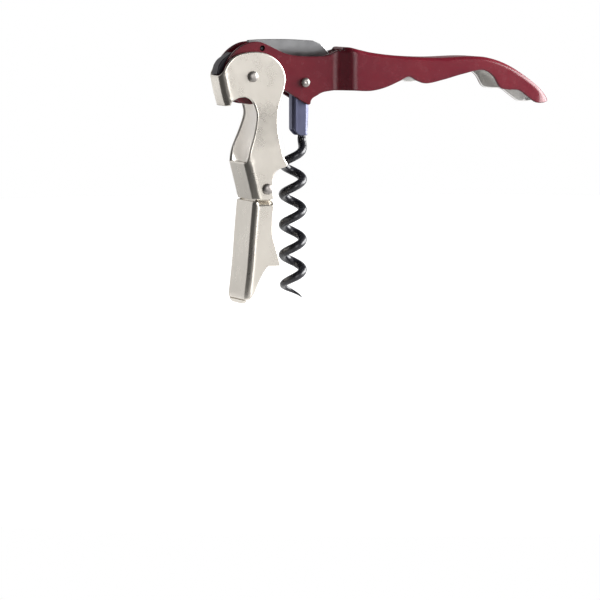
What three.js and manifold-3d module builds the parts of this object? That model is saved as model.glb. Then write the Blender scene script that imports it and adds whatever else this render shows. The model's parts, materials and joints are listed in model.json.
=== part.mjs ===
// Double-hinged lever corkscrew, standing in a cork with its handle out to +X.
// Millimetres, +Z up. The origin is on the worm's axis, level with the cork's top,
// and Y = 0 is the plane of symmetry between the folded sheets' cheeks.

import * as THREE from 'three';
import { mergeVertices } from 'three/addons/utils/BufferGeometryUtils.js';
import Module from 'manifold-3d';

// ---------- Driving dimensions ----------

// Pivots, all parallel to Y
const leverPivotX = -16.0;
const leverPivotZ = 34.4;
const wormPivotX = 2.6;
const wormPivotZ = 32.2;
const linkOffsetX = 3.8;        // link pivot, to the right of the lever pivot
const linkDrop = 34.8;          // and below it
const knifeOffsetX = 4.0;       // knife pivot, to the right of the lever pivot
const knifeRise = 8.6;          // and above it

// Sheets, blade and clearances
const handleSheet = 1.1;
const leverSheet = 1.2;
const bracketSheet = 0.6;
const bladeThickness = 1.4;
const bladeHeight = 5.9;
const clearance = 0.3;          // between pieces that touch or turn on each other

// Widths across the cheeks
const headGap = 5.0;            // between the handle's cheeks at the head
const gripWidth = 13.2;
const footWidth = 15.2;         // both lever arms, where they meet

// Handle
const rampStartX = 13.2;        // where the narrow head starts to widen
const rampLength = 5.2;
const spineSetback = 2.6;       // from there to the cut edge of the closed top
const headRound = 8.65;         // of the head's underside, about the lever pivot
const gripLength = 71.8;        // from the end of the ramp to the tip
const tipRound = 6.6;           // length of the rounded tip, seen from above

// Rivets
const leverRivetRadius = 1.1;
const leverRivetHeadRadius = 1.7;
const wormRivetRadius = 1.0;
const wormRivetHeadRadius = 1.5;
const linkRivetRadius = 1.1;
const linkRivetHeadRadius = 1.7;
const rivetHeadHeight = 1.0;
const knifePinRadius = 0.6;
const bushWall = 0.7;
const stopEyeWall = 0.9;

// Worm and its bracket
const wireDiameter = 2.7;
const wormRadius = 3.1;         // from the worm's axis to the middle of the wire
const wormPitch = 9.5;
const wormTurns = 5;
const coilTopZ = 14.6;          // where the straight shank turns into the coil
const coilEase = 5.4;           // over which the first turn tightens to the full pitch
const wormPointLength = 8.0;
const wirePointRadius = 0.3;
const shankTopZ = 27.0;
const shankFlat = 1.6;          // thickness of the flattened end in the bracket
const bracketBottomZ = 15.5;
const bracketEyeRadius = 2.7;

// Lever arms
const earRadius = 2.6;          // the lower arm's ears round the link rivet
const lipZ = -24.5;             // the step that stands on the bottle's rim
const lipDepth = 4.3;
const footTongue = 11.8;        // from the step down to the end of the web
const footRound = 4.5;
const joggleLength = 1.4;       // over which the ears step in from the foot
const foldRoom = 0.5;           // between the ends of the two arms
const tabRise = 0.4;            // top of the cap lifter's tab, over the lever pivot
const tabDrop = 9.2;            // and its lower end, below it
const windowDrop = 26.6;        // lower end of the open stretch in the upper arm's back, below the lever pivot
const upperArmEnd = 3.5;        // end of the upper arm, below the link pivot
const splayStartDrop = 7.0;     // the arm starts to widen this far below the lever pivot
const splayEndRise = 11.0;      // and has widened this far above the link pivot

const wireSides = 8;
const stepsPerTurn = 20;
const roundSides = 24;

// ---------- Sizes that follow ----------

const headHalf = headGap / 2 + handleSheet;
const gripHalf = gripWidth / 2;
const leverHeadHalf = headHalf + clearance + leverSheet;
const footHalf = footWidth / 2;
const earHalf = footHalf - leverSheet - clearance;
const linkPivotX = leverPivotX + linkOffsetX;
const linkPivotZ = leverPivotZ - linkDrop;
const knifePivotX = leverPivotX + knifeOffsetX;
const knifePivotZ = leverPivotZ + knifeRise;
const betweenCheeks = headGap / 2 - clearance;
const wireRadius = wireDiameter / 2;
const gripStartX = rampStartX + rampLength;
const gripEndX = gripStartX + gripLength;
const spineStartX = rampStartX + spineSetback;
const footEndZ = lipZ - footTongue;
const reach = 200;              // longer than any piece, for cutters

// ---------- Solids ----------

const wasm = await Module();
wasm.setup();

function solid(geometry) {
  const plain = geometry.index ? geometry.toNonIndexed() : geometry.clone();
  plain.deleteAttribute('normal');
  plain.deleteAttribute('uv');
  const merged = mergeVertices(plain, 1e-4);
  const mesh = new wasm.Mesh({
    numProp: 3,
    vertProperties: new Float32Array(merged.attributes.position.array),
    triVerts: new Uint32Array(merged.index.array),
  });
  return new wasm.Manifold(mesh);
}

function geometryOf(manifold) {
  const mesh = manifold.getMesh();
  const geometry = new THREE.BufferGeometry();
  geometry.setAttribute('position', new THREE.BufferAttribute(new Float32Array(mesh.vertProperties), 3));
  geometry.setIndex(new THREE.BufferAttribute(new Uint32Array(mesh.triVerts), 1));
  const flat = geometry.toNonIndexed();
  flat.computeVertexNormals();
  return flat;
}

function extruded(outline, depth) {
  const shape = new THREE.Shape(outline.map(([a, b]) => new THREE.Vector2(a, b)));
  return new THREE.ExtrudeGeometry(shape, { depth, bevelEnabled: false, curveSegments: 1 });
}

// An outline in X and Z, made solid from y0 to y1
function slab(outline, y0, y1) {
  const geometry = extruded(outline, y1 - y0);
  geometry.rotateX(Math.PI / 2);
  geometry.translate(0, y1, 0);
  return solid(geometry);
}

// A half outline [along, half width], mirrored about Y = 0 and closed
function mirrored(halfOutline) {
  const back = halfOutline.filter(([, half]) => half > 0).reverse();
  return [...halfOutline, ...back.map(([along, half]) => [along, -half])];
}

// The mirrored plan [X, half width], made solid all the way along Z
function planPrism(halfOutline) {
  const geometry = extruded(mirrored(halfOutline), 2 * reach);
  geometry.translate(0, 0, -reach);
  return solid(geometry);
}

// The mirrored front view [Z, half width], made solid all the way along X
function frontPrism(halfOutline) {
  const outline = mirrored(halfOutline).map(([z, y]) => [y, z]);
  const geometry = extruded(outline, 2 * reach);
  geometry.translate(0, 0, -reach);
  const turn = new THREE.Matrix4().makeBasis(
    new THREE.Vector3(0, 1, 0), new THREE.Vector3(0, 0, 1), new THREE.Vector3(1, 0, 0));
  geometry.applyMatrix4(turn);
  return solid(geometry);
}

function rod(radius, y0, y1, x, z) {
  const geometry = new THREE.CylinderGeometry(radius, radius, y1 - y0, roundSides);
  geometry.translate(x, (y0 + y1) / 2, z);
  return solid(geometry);
}

function tube(outer, inner, y0, y1, x, z) {
  return rod(outer, y0, y1, x, z).subtract(rod(inner, y0 - 1, y1 + 1, x, z));
}

function bore(radius, x, z) {
  return rod(radius, -reach, reach, x, z);
}

// ---------- Outlines ----------

function smooth(points, perSpan) {
  const curve = new THREE.SplineCurve(points.map(([a, b]) => new THREE.Vector2(a, b)));
  return curve.getPoints((points.length - 1) * perSpan).map((p) => [p.x, p.y]);
}

function arc(centreX, centreZ, radiusX, radiusZ, startDegrees, endDegrees, steps) {
  const start = THREE.MathUtils.degToRad(startDegrees);
  const sweep = THREE.MathUtils.degToRad(endDegrees) - start;
  return Array.from({ length: steps + 1 }, (_, i) => {
    const angle = start + (sweep * i) / steps;
    return [centreX + radiusX * Math.cos(angle), centreZ + radiusZ * Math.sin(angle)];
  });
}

function from(x, z, points) {
  return points.map(([dx, dz]) => [x + dx, z + dz]);
}

// A line moved sideways by a distance, to the right of its direction
function offset(line, distance) {
  return line.map((point, i) => {
    const before = line[Math.max(i - 1, 0)];
    const after = line[Math.min(i + 1, line.length - 1)];
    const first = normalOf(i === 0 ? [point, after] : [before, point]);
    const second = normalOf(i === line.length - 1 ? [before, point] : [point, after]);
    const length = 1 + first[0] * second[0] + first[1] * second[1];
    const mitre = [(first[0] + second[0]) / length, (first[1] + second[1]) / length];
    return [point[0] + distance * mitre[0], point[1] + distance * mitre[1]];
  });
}

function normalOf([start, end]) {
  const along = new THREE.Vector2(end[0] - start[0], end[1] - start[1]).normalize();
  return [along.y, -along.x];
}

// ---------- Handle: one folded sheet, open below, and open above at the head ----------

// A place on the grip: percent of the way to its tip, and height over the worm's pivot
function onGrip(points) {
  return points.map(([percent, rise]) => [gripStartX + (gripLength * percent) / 100, wormPivotZ + rise]);
}

// Closed top of the grip, from its cut edge to the tip
const spineLine = smooth([
  [spineStartX, wormPivotZ + 10.7], [gripStartX - 0.8, wormPivotZ + 10.7],
  ...onGrip([
    [3.3, 9.9], [9.9, 8.9], [21.7, 7.9], [39.7, 7.1], [57.8, 7.3], [67.2, 6.7],
    [77.2, 4.2], [87.8, -0.4], [97.2, -5.8], [100, -7.4],
  ]),
], 3);

// Lower edge from the tip back through the three finger scallops
const gripLowerEdge = smooth(onGrip([
  [94.7, -8.0], [90.3, -7.8], [85.8, -5.8], [81.4, -3.8], [75.8, -3.5], [71.9, -2.7], [68.3, 1.0],
  [62.8, 2.9], [53.6, 1.8], [43.9, 0.1], [35.6, -1.0], [30.8, -0.2], [26.5, 1.2], [21.7, -0.2],
  [14.7, -2.1], [7.8, -3.0], [0, -2.8],
]), 2);

// Lobe round the worm's rivet, and the slanting edge that the folded lever lies along
const wormLobe = [
  [rampStartX - 0.5, wormPivotZ - 2.7],
  ...from(wormPivotX, wormPivotZ, [
    [6.4, -3.2], [4.4, -4.1], [2.4, -5.3], [1.9, -6.9], [1.1, -7.1], [-7.1, -2.3],
  ]),
];

const headUnderside = arc(leverPivotX, leverPivotZ, headRound, headRound, -32, -140, 12);
const headTop = smooth(from(leverPivotX, leverPivotZ, [
  [-7.4, -5.0], [-8.8, -1.6], [-9.0, 1.6], [-7.9, 4.8], [-5.3, 7.9], [-2.3, 9.8], [0.6, 10.6],
  [3.6, 10.5], [7.6, 8.8], [11.6, 7.0], [16, 6.1], [22, 5.8], [26.6, 6.1], [29.2, 7.3],
]), 2);

function handlePlan(edge) {
  const half = [
    [-reach, headHalf], [rampStartX, headHalf], [gripStartX, gripHalf], [gripEndX - tipRound, gripHalf],
    ...arc(gripEndX - tipRound, 0, tipRound, gripHalf, 90, 0, 8).slice(1, -1), [gripEndX, 0],
  ];
  return edge === 0 ? half : offset(half, edge);
}

function handleShell() {
  const foot = [spineStartX, wormPivotZ + 10.0];
  const outline = [...spineLine, ...gripLowerEdge, ...wormLobe, ...headUnderside, ...headTop, foot];
  const outer = slab(outline, -reach, reach);
  const open = [
    [-reach, reach], [spineStartX, reach], ...offset(spineLine, handleSheet),
    [gripEndX - handleSheet, -reach], [-reach, -reach],
  ];
  const inside = slab(open, -reach, reach).intersect(planPrism(handlePlan(handleSheet)));
  return outer.intersect(planPrism(handlePlan(0))).subtract(inside)
    .subtract(bore(leverRivetRadius + clearance, leverPivotX, leverPivotZ))
    .subtract(bore(wormRivetRadius + clearance, wormPivotX, wormPivotZ))
    .subtract(bore(knifePinRadius + clearance, knifePivotX, knifePivotZ));
}

// ---------- Stop between the head's cheeks, threaded on the lever rivet's bush ----------

const bushInner = leverRivetRadius + clearance;
const bushOuter = bushInner + bushWall;
const stopEyeBore = bushOuter + clearance;
const stopEyeRadius = stopEyeBore + stopEyeWall;
const tabTopZ = leverPivotZ + tabRise;
const stopUndersideZ = tabTopZ + clearance;

function headStop() {
  const rise = stopUndersideZ - leverPivotZ;
  const face = smooth(from(leverPivotX, leverPivotZ, [
    [-10.7, rise], [-10.2, 3.3], [-9.0, 5.1], [-7.4, 6.3], [-5.6, 7.6],
  ]), 3);
  const wedge = [...face, [leverPivotX - 1.0, leverPivotZ + stopEyeRadius - 0.2], [leverPivotX, stopUndersideZ]];
  return slab(wedge, -betweenCheeks, betweenCheeks)
    .add(rod(stopEyeRadius, -betweenCheeks, betweenCheeks, leverPivotX, leverPivotZ))
    .subtract(bore(stopEyeBore, leverPivotX, leverPivotZ));
}

// ---------- Upper lever arm: one folded sheet, open to the right ----------

// Its back is closed at the cap lifter's tab and near the link, and open in between
const tabLine = smooth(from(leverPivotX, leverPivotZ, [[-10.8, tabRise], [-9.7, -4.8], [-8.4, -tabDrop]]), 2);
const windowEdge = smooth(from(leverPivotX, leverPivotZ, [
  [0.7, -9.0], [1.3, -11.2], [1.1, -13.4], [0.0, -17.4], [-1.6, -21.8], [-2.6, -25.2],
]), 2);
const upperWebLine = [
  [leverPivotX - 3.3, leverPivotZ - windowDrop], ...from(linkPivotX, linkPivotZ, [[-5.5, 2.1], [-4.1, -upperArmEnd]]),
];
const mouthEdge = smooth(from(leverPivotX, leverPivotZ, [
  [-7.4, -9.0], [-6.9, -7.8], [-6.1, -7.3], [-4.6, -6.6], [-2.6, -6.4], [-1.0, -7.0], [0.2, -8.1],
]), 2);
const upperArmRightEdge = [
  ...from(linkPivotX, linkPivotZ, [[1.6, -upperArmEnd], [2.3, -2.8], [2.1, 2.7], [2.6, 4.8], [3.9, 5.9], [6.8, 6.7]]),
  ...smooth(from(leverPivotX, leverPivotZ, [
    [10.9, -27.2], [9.6, -25.0], [8.7, -21.2], [8.2, -17.4], [8.4, -13.1], [9.0, -9.9], [9.8, -7.4], [10.8, -4.4],
  ]), 2),
];
const leverHeadTop = [
  ...arc(leverPivotX + 0.8, leverPivotZ - 1.4, 10.6, 9.1, 0, 90, 10),
  ...smooth(from(leverPivotX, leverPivotZ, [
    [-1.5, 7.6], [-4.3, 7.0], [-6.5, 5.85], [-8.2, 4.1], [-9.6, 2.0], [-10.5, 0.8],
  ]), 2),
];

function upperArmFront(edge) {
  const half = smooth([
    [leverPivotZ - splayStartDrop, leverHeadHalf], [leverPivotZ - splayStartDrop - 4, leverHeadHalf + 0.4],
    [linkPivotZ + splayEndRise + 4, footHalf - 0.4], [linkPivotZ + splayEndRise, footHalf],
  ], 4);
  const line = [[reach, leverHeadHalf], ...half, [-reach, footHalf]];
  return line.map(([z, width]) => [z, width - edge]);
}

function leverUpperArm() {
  const outline = [
    ...tabLine, ...mouthEdge, ...windowEdge, ...upperWebLine, ...upperArmRightEdge, ...leverHeadTop,
  ];
  const openRight = [
    [-reach, reach], [-reach, tabTopZ], [offset(tabLine, -leverSheet)[0][0], tabTopZ],
    ...offset(tabLine, -leverSheet), [-reach, leverPivotZ - tabDrop], [-reach, leverPivotZ - windowDrop],
    ...offset(upperWebLine, -leverSheet), [upperWebLine.at(-1)[0] + leverSheet, -reach],
    [reach, -reach], [reach, reach],
  ];
  const inside = slab(openRight, -reach, reach).intersect(frontPrism(upperArmFront(leverSheet)));
  return slab(outline, -reach, reach).intersect(frontPrism(upperArmFront(0))).subtract(inside)
    .subtract(bore(leverRivetRadius + clearance, leverPivotX, leverPivotZ))
    .subtract(bore(linkRivetRadius + clearance, linkPivotX, linkPivotZ));
}

// ---------- Lower lever arm: one folded sheet with ears inside the upper arm ----------

const footTopZ = linkPivotZ - upperArmEnd - foldRoom;
const lipX = linkPivotX + 4.5;
const footEndX = linkPivotX - 7.3;
const lowerWebLine = smooth([
  [linkPivotX - 4.3, footTopZ], [linkPivotX - 5.2, footTopZ - 9.6], [linkPivotX - 6.1, lipZ],
  [footEndX + 0.2, footEndZ + 3.3], [footEndX, footEndZ],
], 2);

function lowerArmFront(edge) {
  const roundStart = footEndZ + footRound;
  const half = [
    [reach, earHalf], [footTopZ, earHalf], [footTopZ - joggleLength, footHalf], [roundStart, footHalf],
    ...arc(roundStart, footHalf - footRound, footRound, footRound, 90, 180, 6).slice(1), [footEndZ, 0],
  ];
  return edge === 0 ? half : half.filter(([z]) => z >= roundStart).map(([z, width]) => [z, width - edge]);
}

function leverLowerArm() {
  const ear = arc(linkPivotX, linkPivotZ, earRadius, earRadius, 0, 180, 10);
  const hook = smooth([
    [footEndX + 1.4, footEndZ + 1.0], [footEndX + 2.9, footEndZ + 3.5], [lipX - lipDepth - 3.6, lipZ - 6.0],
    [lipX - lipDepth - 1.8, lipZ - 2.5], [lipX - lipDepth, lipZ],
  ], 2);
  const rightEdge = smooth([
    [lipX, lipZ], [lipX - 0.3, lipZ + 2.2], [lipX - 1.5, lipZ + 6.2], [lipX - 2.6, lipZ + 11.2],
    [lipX - 2.1, footTopZ - joggleLength],
  ], 2);
  const outline = [
    ...lowerWebLine, [footEndX + leverSheet, footEndZ], ...hook, ...rightEdge, ...ear,
    [linkPivotX - earRadius, footTopZ],
  ];
  const webInside = offset(lowerWebLine, -leverSheet);
  const openRight = [
    [-reach, reach], [-reach, footTopZ], [webInside[0][0], footTopZ], ...webInside,
    [webInside.at(-1)[0], -reach], [reach, -reach], [reach, reach],
  ];
  const inside = slab(openRight, -reach, reach)
    .intersect(frontPrism([...lowerArmFront(leverSheet), [-reach, footHalf - leverSheet]]));
  return slab(outline, -reach, reach).intersect(frontPrism(lowerArmFront(0))).subtract(inside)
    .subtract(bore(linkRivetRadius + clearance, linkPivotX, linkPivotZ));
}

// ---------- Rivets, pin, bushes and washers ----------

function domedRivet(radius, headRadius, halfGrip, x, z) {
  const seat = halfGrip + clearance;
  const dome = arc(0, seat, headRadius, rivetHeadHeight, 0, 90, 5).slice(0, -1);
  const half = [[radius, 0], [radius, seat], ...dome, [0, seat + rivetHeadHeight]];
  const profile = [...half.slice(1).map(([r, y]) => [r, -y]).reverse(), ...half.slice(1)];
  const geometry = new THREE.LatheGeometry(profile.map(([r, y]) => new THREE.Vector2(r, y)), roundSides);
  geometry.translate(x, 0, z);
  return solid(geometry);
}

function leverPivotRivet() {
  return domedRivet(leverRivetRadius, leverRivetHeadRadius, leverHeadHalf, leverPivotX, leverPivotZ);
}

function wormPivotRivet() {
  return domedRivet(wormRivetRadius, wormRivetHeadRadius, headHalf, wormPivotX, wormPivotZ);
}

function linkRivet() {
  return domedRivet(linkRivetRadius, linkRivetHeadRadius, footHalf, linkPivotX, linkPivotZ);
}

function headBush() {
  return tube(bushOuter, bushInner, -betweenCheeks, betweenCheeks, leverPivotX, leverPivotZ);
}

function linkBush() {
  const half = earHalf - leverSheet - clearance;
  const inner = linkRivetRadius + clearance;
  return tube(inner + bushWall, inner, -half, half, linkPivotX, linkPivotZ);
}

function knifePivotPin() {
  return rod(knifePinRadius, -headHalf, headHalf, knifePivotX, knifePivotZ);
}

function knifeWasher(side) {
  const near = bladeThickness / 2 + clearance;
  const [y0, y1] = side < 0 ? [-betweenCheeks, -near] : [near, betweenCheeks];
  return tube(knifePinRadius + clearance + bushWall, knifePinRadius + clearance, y0, y1, knifePivotX, knifePivotZ);
}

// ---------- Knife, folded along the top of the head ----------

const bladeTipX = rampStartX - clearance;
const bladeBackZ = knifePivotZ + 2.7;
const bladeEdgeZ = bladeBackZ - bladeHeight;

function knifeBlade() {
  const back = smooth([
    [knifePivotX - 3.5, bladeBackZ - 0.2], [knifePivotX + 1.4, bladeBackZ], [bladeTipX - 14.3, bladeBackZ - 0.1],
    [bladeTipX - 6.3, bladeBackZ - 0.6],
  ], 2);
  const point = from(bladeTipX, bladeEdgeZ, [[-3.7, 4.2], [-1.2, 2.0], [0, 1.1]]);
  const edge = from(bladeTipX, bladeEdgeZ, [[-2.4, 0.3], [-9, 0], [-17, 0.1]]);
  const heel = [[knifePivotX - 1.4, bladeEdgeZ + 0.2], [knifePivotX - 2.8, bladeEdgeZ + 1.4]];
  return slab([...back, ...point, ...edge, ...heel], -bladeThickness / 2, bladeThickness / 2)
    .subtract(bore(knifePinRadius + clearance, knifePivotX, knifePivotZ));
}

// ---------- Worm and its bracket ----------

function coilAngle(drop) {
  const perMillimetre = (2 * Math.PI) / wormPitch;
  return drop < coilEase ? (perMillimetre * drop * drop) / (2 * coilEase) : perMillimetre * (drop - coilEase / 2);
}

// Rings of the wire: the flattened end, the straight shank, the coil and its point
function wormRings() {
  const bracketMouthZ = bracketBottomZ - clearance;
  const flat = shankFlat / 2;
  const rings = [[shankTopZ, flat], [bracketMouthZ, flat], [coilTopZ, wireRadius]]
    .map(([z, halfThickness]) => ({ z, angle: 0, radius: wireRadius, halfThickness }));
  const coilDrop = wormTurns * wormPitch + coilEase / 2;
  const steps = wormTurns * stepsPerTurn;
  for (let i = 1; i <= steps; i += 1) {
    const drop = (coilDrop * i) / steps;
    const sharpened = Math.min(1, (coilDrop - drop) / wormPointLength);
    const radius = THREE.MathUtils.lerp(wirePointRadius, wireRadius, sharpened);
    rings.push({ z: coilTopZ - drop, angle: coilAngle(drop), radius, halfThickness: radius });
  }
  return rings;
}

function wormWire() {
  const rings = wormRings();
  const centres = rings.map(({ z, angle }) =>
    new THREE.Vector3(wormRadius * Math.cos(angle), -wormRadius * Math.sin(angle), z));
  const vertices = [];
  rings.forEach(({ angle, radius, halfThickness }, i) => {
    const outward = new THREE.Vector3(Math.cos(angle), -Math.sin(angle), 0);
    const before = centres[Math.max(i - 1, 0)];
    const after = centres[Math.min(i + 1, centres.length - 1)];
    const along = i < 3 ? new THREE.Vector3(0, 0, -1) : after.clone().sub(before).normalize();
    const across = new THREE.Vector3().crossVectors(along, outward).normalize();
    for (let side = 0; side < wireSides; side += 1) {
      const turn = (2 * Math.PI * side) / wireSides;
      vertices.push(centres[i].clone()
        .addScaledVector(outward, radius * Math.cos(turn))
        .addScaledVector(across, halfThickness * Math.sin(turn)));
    }
  });
  const last = (rings.length - 1) * wireSides;
  const triangles = [];
  for (let start = 0; start < last; start += wireSides) {
    for (let side = 0; side < wireSides; side += 1) {
      const next = (side + 1) % wireSides;
      triangles.push(start + side, start + next, start + wireSides + side);
      triangles.push(start + next, start + wireSides + next, start + wireSides + side);
    }
  }
  for (let side = 1; side < wireSides - 1; side += 1) {
    triangles.push(0, side + 1, side);
    triangles.push(last, last + side, last + side + 1);
  }
  const geometry = new THREE.BufferGeometry().setFromPoints(vertices);
  geometry.setIndex(triangles);
  return solid(geometry);
}

function wormBracket() {
  const rightX = wormRadius + wireRadius;
  const leftX = wormPivotX - 3.4;
  const webTopZ = wormPivotZ - bracketEyeRadius;
  const webBottomZ = bracketBottomZ + 2.0;
  const eye = arc(wormPivotX, wormPivotZ, bracketEyeRadius, bracketEyeRadius, -20, 200, 14);
  const outline = [
    [rightX, bracketBottomZ], ...eye, [leftX, webTopZ], [leftX, webBottomZ], [leftX + 2.2, bracketBottomZ],
  ];
  const inside = [
    [leftX + bracketSheet, -reach], [reach, -reach], [reach, reach], [-reach, reach], [-reach, webTopZ],
    [leftX + bracketSheet, webTopZ],
  ];
  const innerHalf = betweenCheeks - bracketSheet;
  return slab(outline, -betweenCheeks, betweenCheeks)
    .subtract(slab(inside, -innerHalf, innerHalf))
    .subtract(bore(wormRivetRadius + clearance, wormPivotX, wormPivotZ));
}

// ---------- Materials ----------

function material(color, metalness, roughness) {
  return new THREE.MeshStandardMaterial({ color, metalness, roughness });
}

const redPaint = material(0x702c38, 0.1, 0.35);
const nickel = material(0xb9b2a6, 1.0, 0.28);
const rivetSteel = material(0xc4bfb6, 1.0, 0.3);
const darkSteel = material(0x2e282e, 0.6, 0.45);
const knifeSteel = material(0x9a9a9c, 1.0, 0.35);
const blackCoat = material(0x26262e, 0.2, 0.4);
const bracketCoat = material(0x3c3e52, 0.5, 0.4);

// ---------- Assembly ----------

const corkscrew = new THREE.Group();

function place(name, body, finish) {
  const mesh = new THREE.Mesh(geometryOf(body), finish);
  mesh.name = name;
  corkscrew.add(mesh);
}

place('handle_shell', handleShell(), redPaint);
place('head_stop', headStop(), darkSteel);
place('head_bush', headBush(), darkSteel);
place('lever_pivot_rivet', leverPivotRivet(), rivetSteel);
place('worm_pivot_rivet', wormPivotRivet(), rivetSteel);
place('knife_pivot_pin', knifePivotPin(), rivetSteel);
place('knife_washer_near', knifeWasher(-1), darkSteel);
place('knife_washer_far', knifeWasher(1), darkSteel);
place('lever_upper_arm', leverUpperArm(), nickel);
place('link_rivet', linkRivet(), rivetSteel);
place('lever_lower_arm', leverLowerArm(), nickel);
place('link_bush', linkBush(), darkSteel);
place('worm', wormWire(), blackCoat);
place('worm_bracket', wormBracket(), bracketCoat);
place('knife_blade', knifeBlade(), knifeSteel);

export default corkscrew;
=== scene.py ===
"""Looks of a double-hinged lever corkscrew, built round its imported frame.

Outlines lie in the tool's plane of symmetry, as (x, z), and y runs across the folded sheets.
Lengths are millimetres until a mesh is written, which happens in metres. Pivots, ends and
overall widths come from the frame, and each class holds the other sizes of its own piece.
"""

import json
import logging
import math
from collections.abc import Callable, Sequence
from dataclasses import dataclass, field
from enum import Enum

import bpy
import numpy as np
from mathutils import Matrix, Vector
from mathutils.geometry import delaunay_2d_cdt


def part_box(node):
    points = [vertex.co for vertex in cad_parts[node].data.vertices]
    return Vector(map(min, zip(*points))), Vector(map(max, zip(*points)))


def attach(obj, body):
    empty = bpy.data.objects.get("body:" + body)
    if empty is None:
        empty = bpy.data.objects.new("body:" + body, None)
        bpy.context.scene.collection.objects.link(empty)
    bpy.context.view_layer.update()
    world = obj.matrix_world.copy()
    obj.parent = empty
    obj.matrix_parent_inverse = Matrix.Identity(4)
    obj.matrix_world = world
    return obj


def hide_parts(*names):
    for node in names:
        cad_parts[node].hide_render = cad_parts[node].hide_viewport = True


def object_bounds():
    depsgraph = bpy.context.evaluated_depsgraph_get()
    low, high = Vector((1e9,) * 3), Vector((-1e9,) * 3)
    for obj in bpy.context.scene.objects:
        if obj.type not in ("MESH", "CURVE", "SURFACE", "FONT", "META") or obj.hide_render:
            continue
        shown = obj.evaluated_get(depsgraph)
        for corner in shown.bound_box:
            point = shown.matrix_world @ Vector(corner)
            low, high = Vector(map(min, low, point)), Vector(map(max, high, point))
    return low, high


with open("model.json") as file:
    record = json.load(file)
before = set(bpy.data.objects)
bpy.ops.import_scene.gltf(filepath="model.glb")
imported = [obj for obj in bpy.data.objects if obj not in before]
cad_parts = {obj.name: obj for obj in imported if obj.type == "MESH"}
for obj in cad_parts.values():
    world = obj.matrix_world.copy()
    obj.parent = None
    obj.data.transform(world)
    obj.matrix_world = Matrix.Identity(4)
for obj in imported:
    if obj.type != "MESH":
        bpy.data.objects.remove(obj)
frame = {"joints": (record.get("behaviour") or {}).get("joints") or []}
cad_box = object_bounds()

MM = 0.001
RIM_STEPS = 3            # rows of points round a rim's quarter round
BEND_STEPS = 8           # and round the quarter round of a fold
WEAR_REACH = 0.35        # how far in from a rim its wear fades
SHARP_DEGREES = 52.0     # faces that meet at more than this shade apart
SLIVER = 0.02            # least half thickness at a rim
PAST_RIM = 1.3           # where a rim's last row of points lies, in rim radii
SHEET_MARGIN = 0.35      # what a sheet's inner points keep past that row
PLATE_MARGIN = 0.2       # and what a plate's keep
WEB_SPACING = 1.1        # of the points across a web
WIDE_ROW = 4.0           # a row under this many rim radii has no points across
RIM_SHARE = 0.4          # rows near a rim stay within this share of the half width
FLAT_SHARE = 0.9         # how far out a row's points lie if none fits near the rim
FLAT_INSET = 0.94        # how far in the others stay from the last one near the rim
log = logging.getLogger("corkscrew")

Points = Sequence[tuple[float, float]]
Triple = tuple[float, float, float]
Socket = bpy.types.NodeSocket
Material = bpy.types.Material


class Body(Enum):
    """The bodies that move against each other."""

    HANDLE = "handle"
    LEVER = "lever"
    FOOT = "foot"
    WORM = "worm"
    KNIFE = "knife"


class Slot(Enum):
    """The record's material slots."""

    RED_PAINT = "red_paint"
    NICKEL = "nickel"
    RIVET_STEEL = "rivet_steel"
    DARK_STEEL = "dark_steel"
    KNIFE_STEEL = "knife_steel"
    BLACK_COAT = "black_coat"
    BRACKET_COAT = "bracket_coat"


# ---------- What the frame says ----------


def pivot(joint: str) -> np.ndarray:
    """Where a joint's axis crosses the plane of symmetry.

    Args:
        joint: the joint's name in the record.

    Returns:
        (x, z) in millimetres.
    """
    found = next(row for row in frame["joints"] if row["name"] == joint)
    x, _, z = found["pos_m"]
    return np.array([x, z]) / MM


def node_box(node: str) -> tuple[np.ndarray, np.ndarray]:
    """A CAD node's lowest and highest corners.

    Args:
        node: the node's name.

    Returns:
        Two (x, y, z) corners in millimetres.
    """
    low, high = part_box(node)
    return np.array(low) / MM, np.array(high) / MM


# ---------- Lines in the plane ----------


def placed(origin: np.ndarray, points: Points) -> np.ndarray:
    """Points given from an origin, as an array of (x, z)."""
    return np.asarray(points, float) + origin


def smooth(points: Points | np.ndarray, steps: int = 12) -> np.ndarray:
    """A Catmull-Rom curve through points.

    Args:
        points: the (x, z) points it passes through.
        steps: straight steps from one point to the next.

    Returns:
        The curve's points, ends included.
    """
    given = np.asarray(points, float)
    padded = np.vstack([given[:1], given, given[-1:]])
    t = np.linspace(0, 1, steps, endpoint=False)[:, None]
    spans = []
    for before, start, end, after in zip(padded, padded[1:], padded[2:], padded[3:]):
        leaving = (end - before) / 2
        arriving = (after - start) / 2
        cubic = 2 * start - 2 * end + leaving + arriving
        square = 3 * end - 3 * start - 2 * leaving - arriving
        spans.append(cubic * t**3 + square * t**2 + leaving * t + start)
    return np.vstack([*spans, given[-1:]])


def arc(
    centre: np.ndarray, radii: tuple[float, float], start: float, end: float, steps: int = 60,
) -> np.ndarray:
    """Part of an ellipse.

    Args:
        centre: its middle, as (x, z).
        radii: its half lengths along x and z.
        start: first angle in degrees, from +x towards +z.
        end: last angle in degrees.
        steps: straight steps along it.

    Returns:
        The arc's points.
    """
    angles = np.radians(np.linspace(start, end, steps + 1))
    return centre + np.column_stack([radii[0] * np.cos(angles), radii[1] * np.sin(angles)])


def lengths_along(line: np.ndarray) -> np.ndarray:
    """Distance of each point of a line from its start, measured along it."""
    steps = np.linalg.norm(np.diff(line, axis=0), axis=1)
    return np.concatenate([[0.0], np.cumsum(steps)])


def place_on(line: np.ndarray, along: np.ndarray, where: np.ndarray | float) -> np.ndarray:
    """Points of a line at given distances along it."""
    return np.column_stack([np.interp(where, along, line[:, axis]) for axis in range(line.shape[1])])


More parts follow.
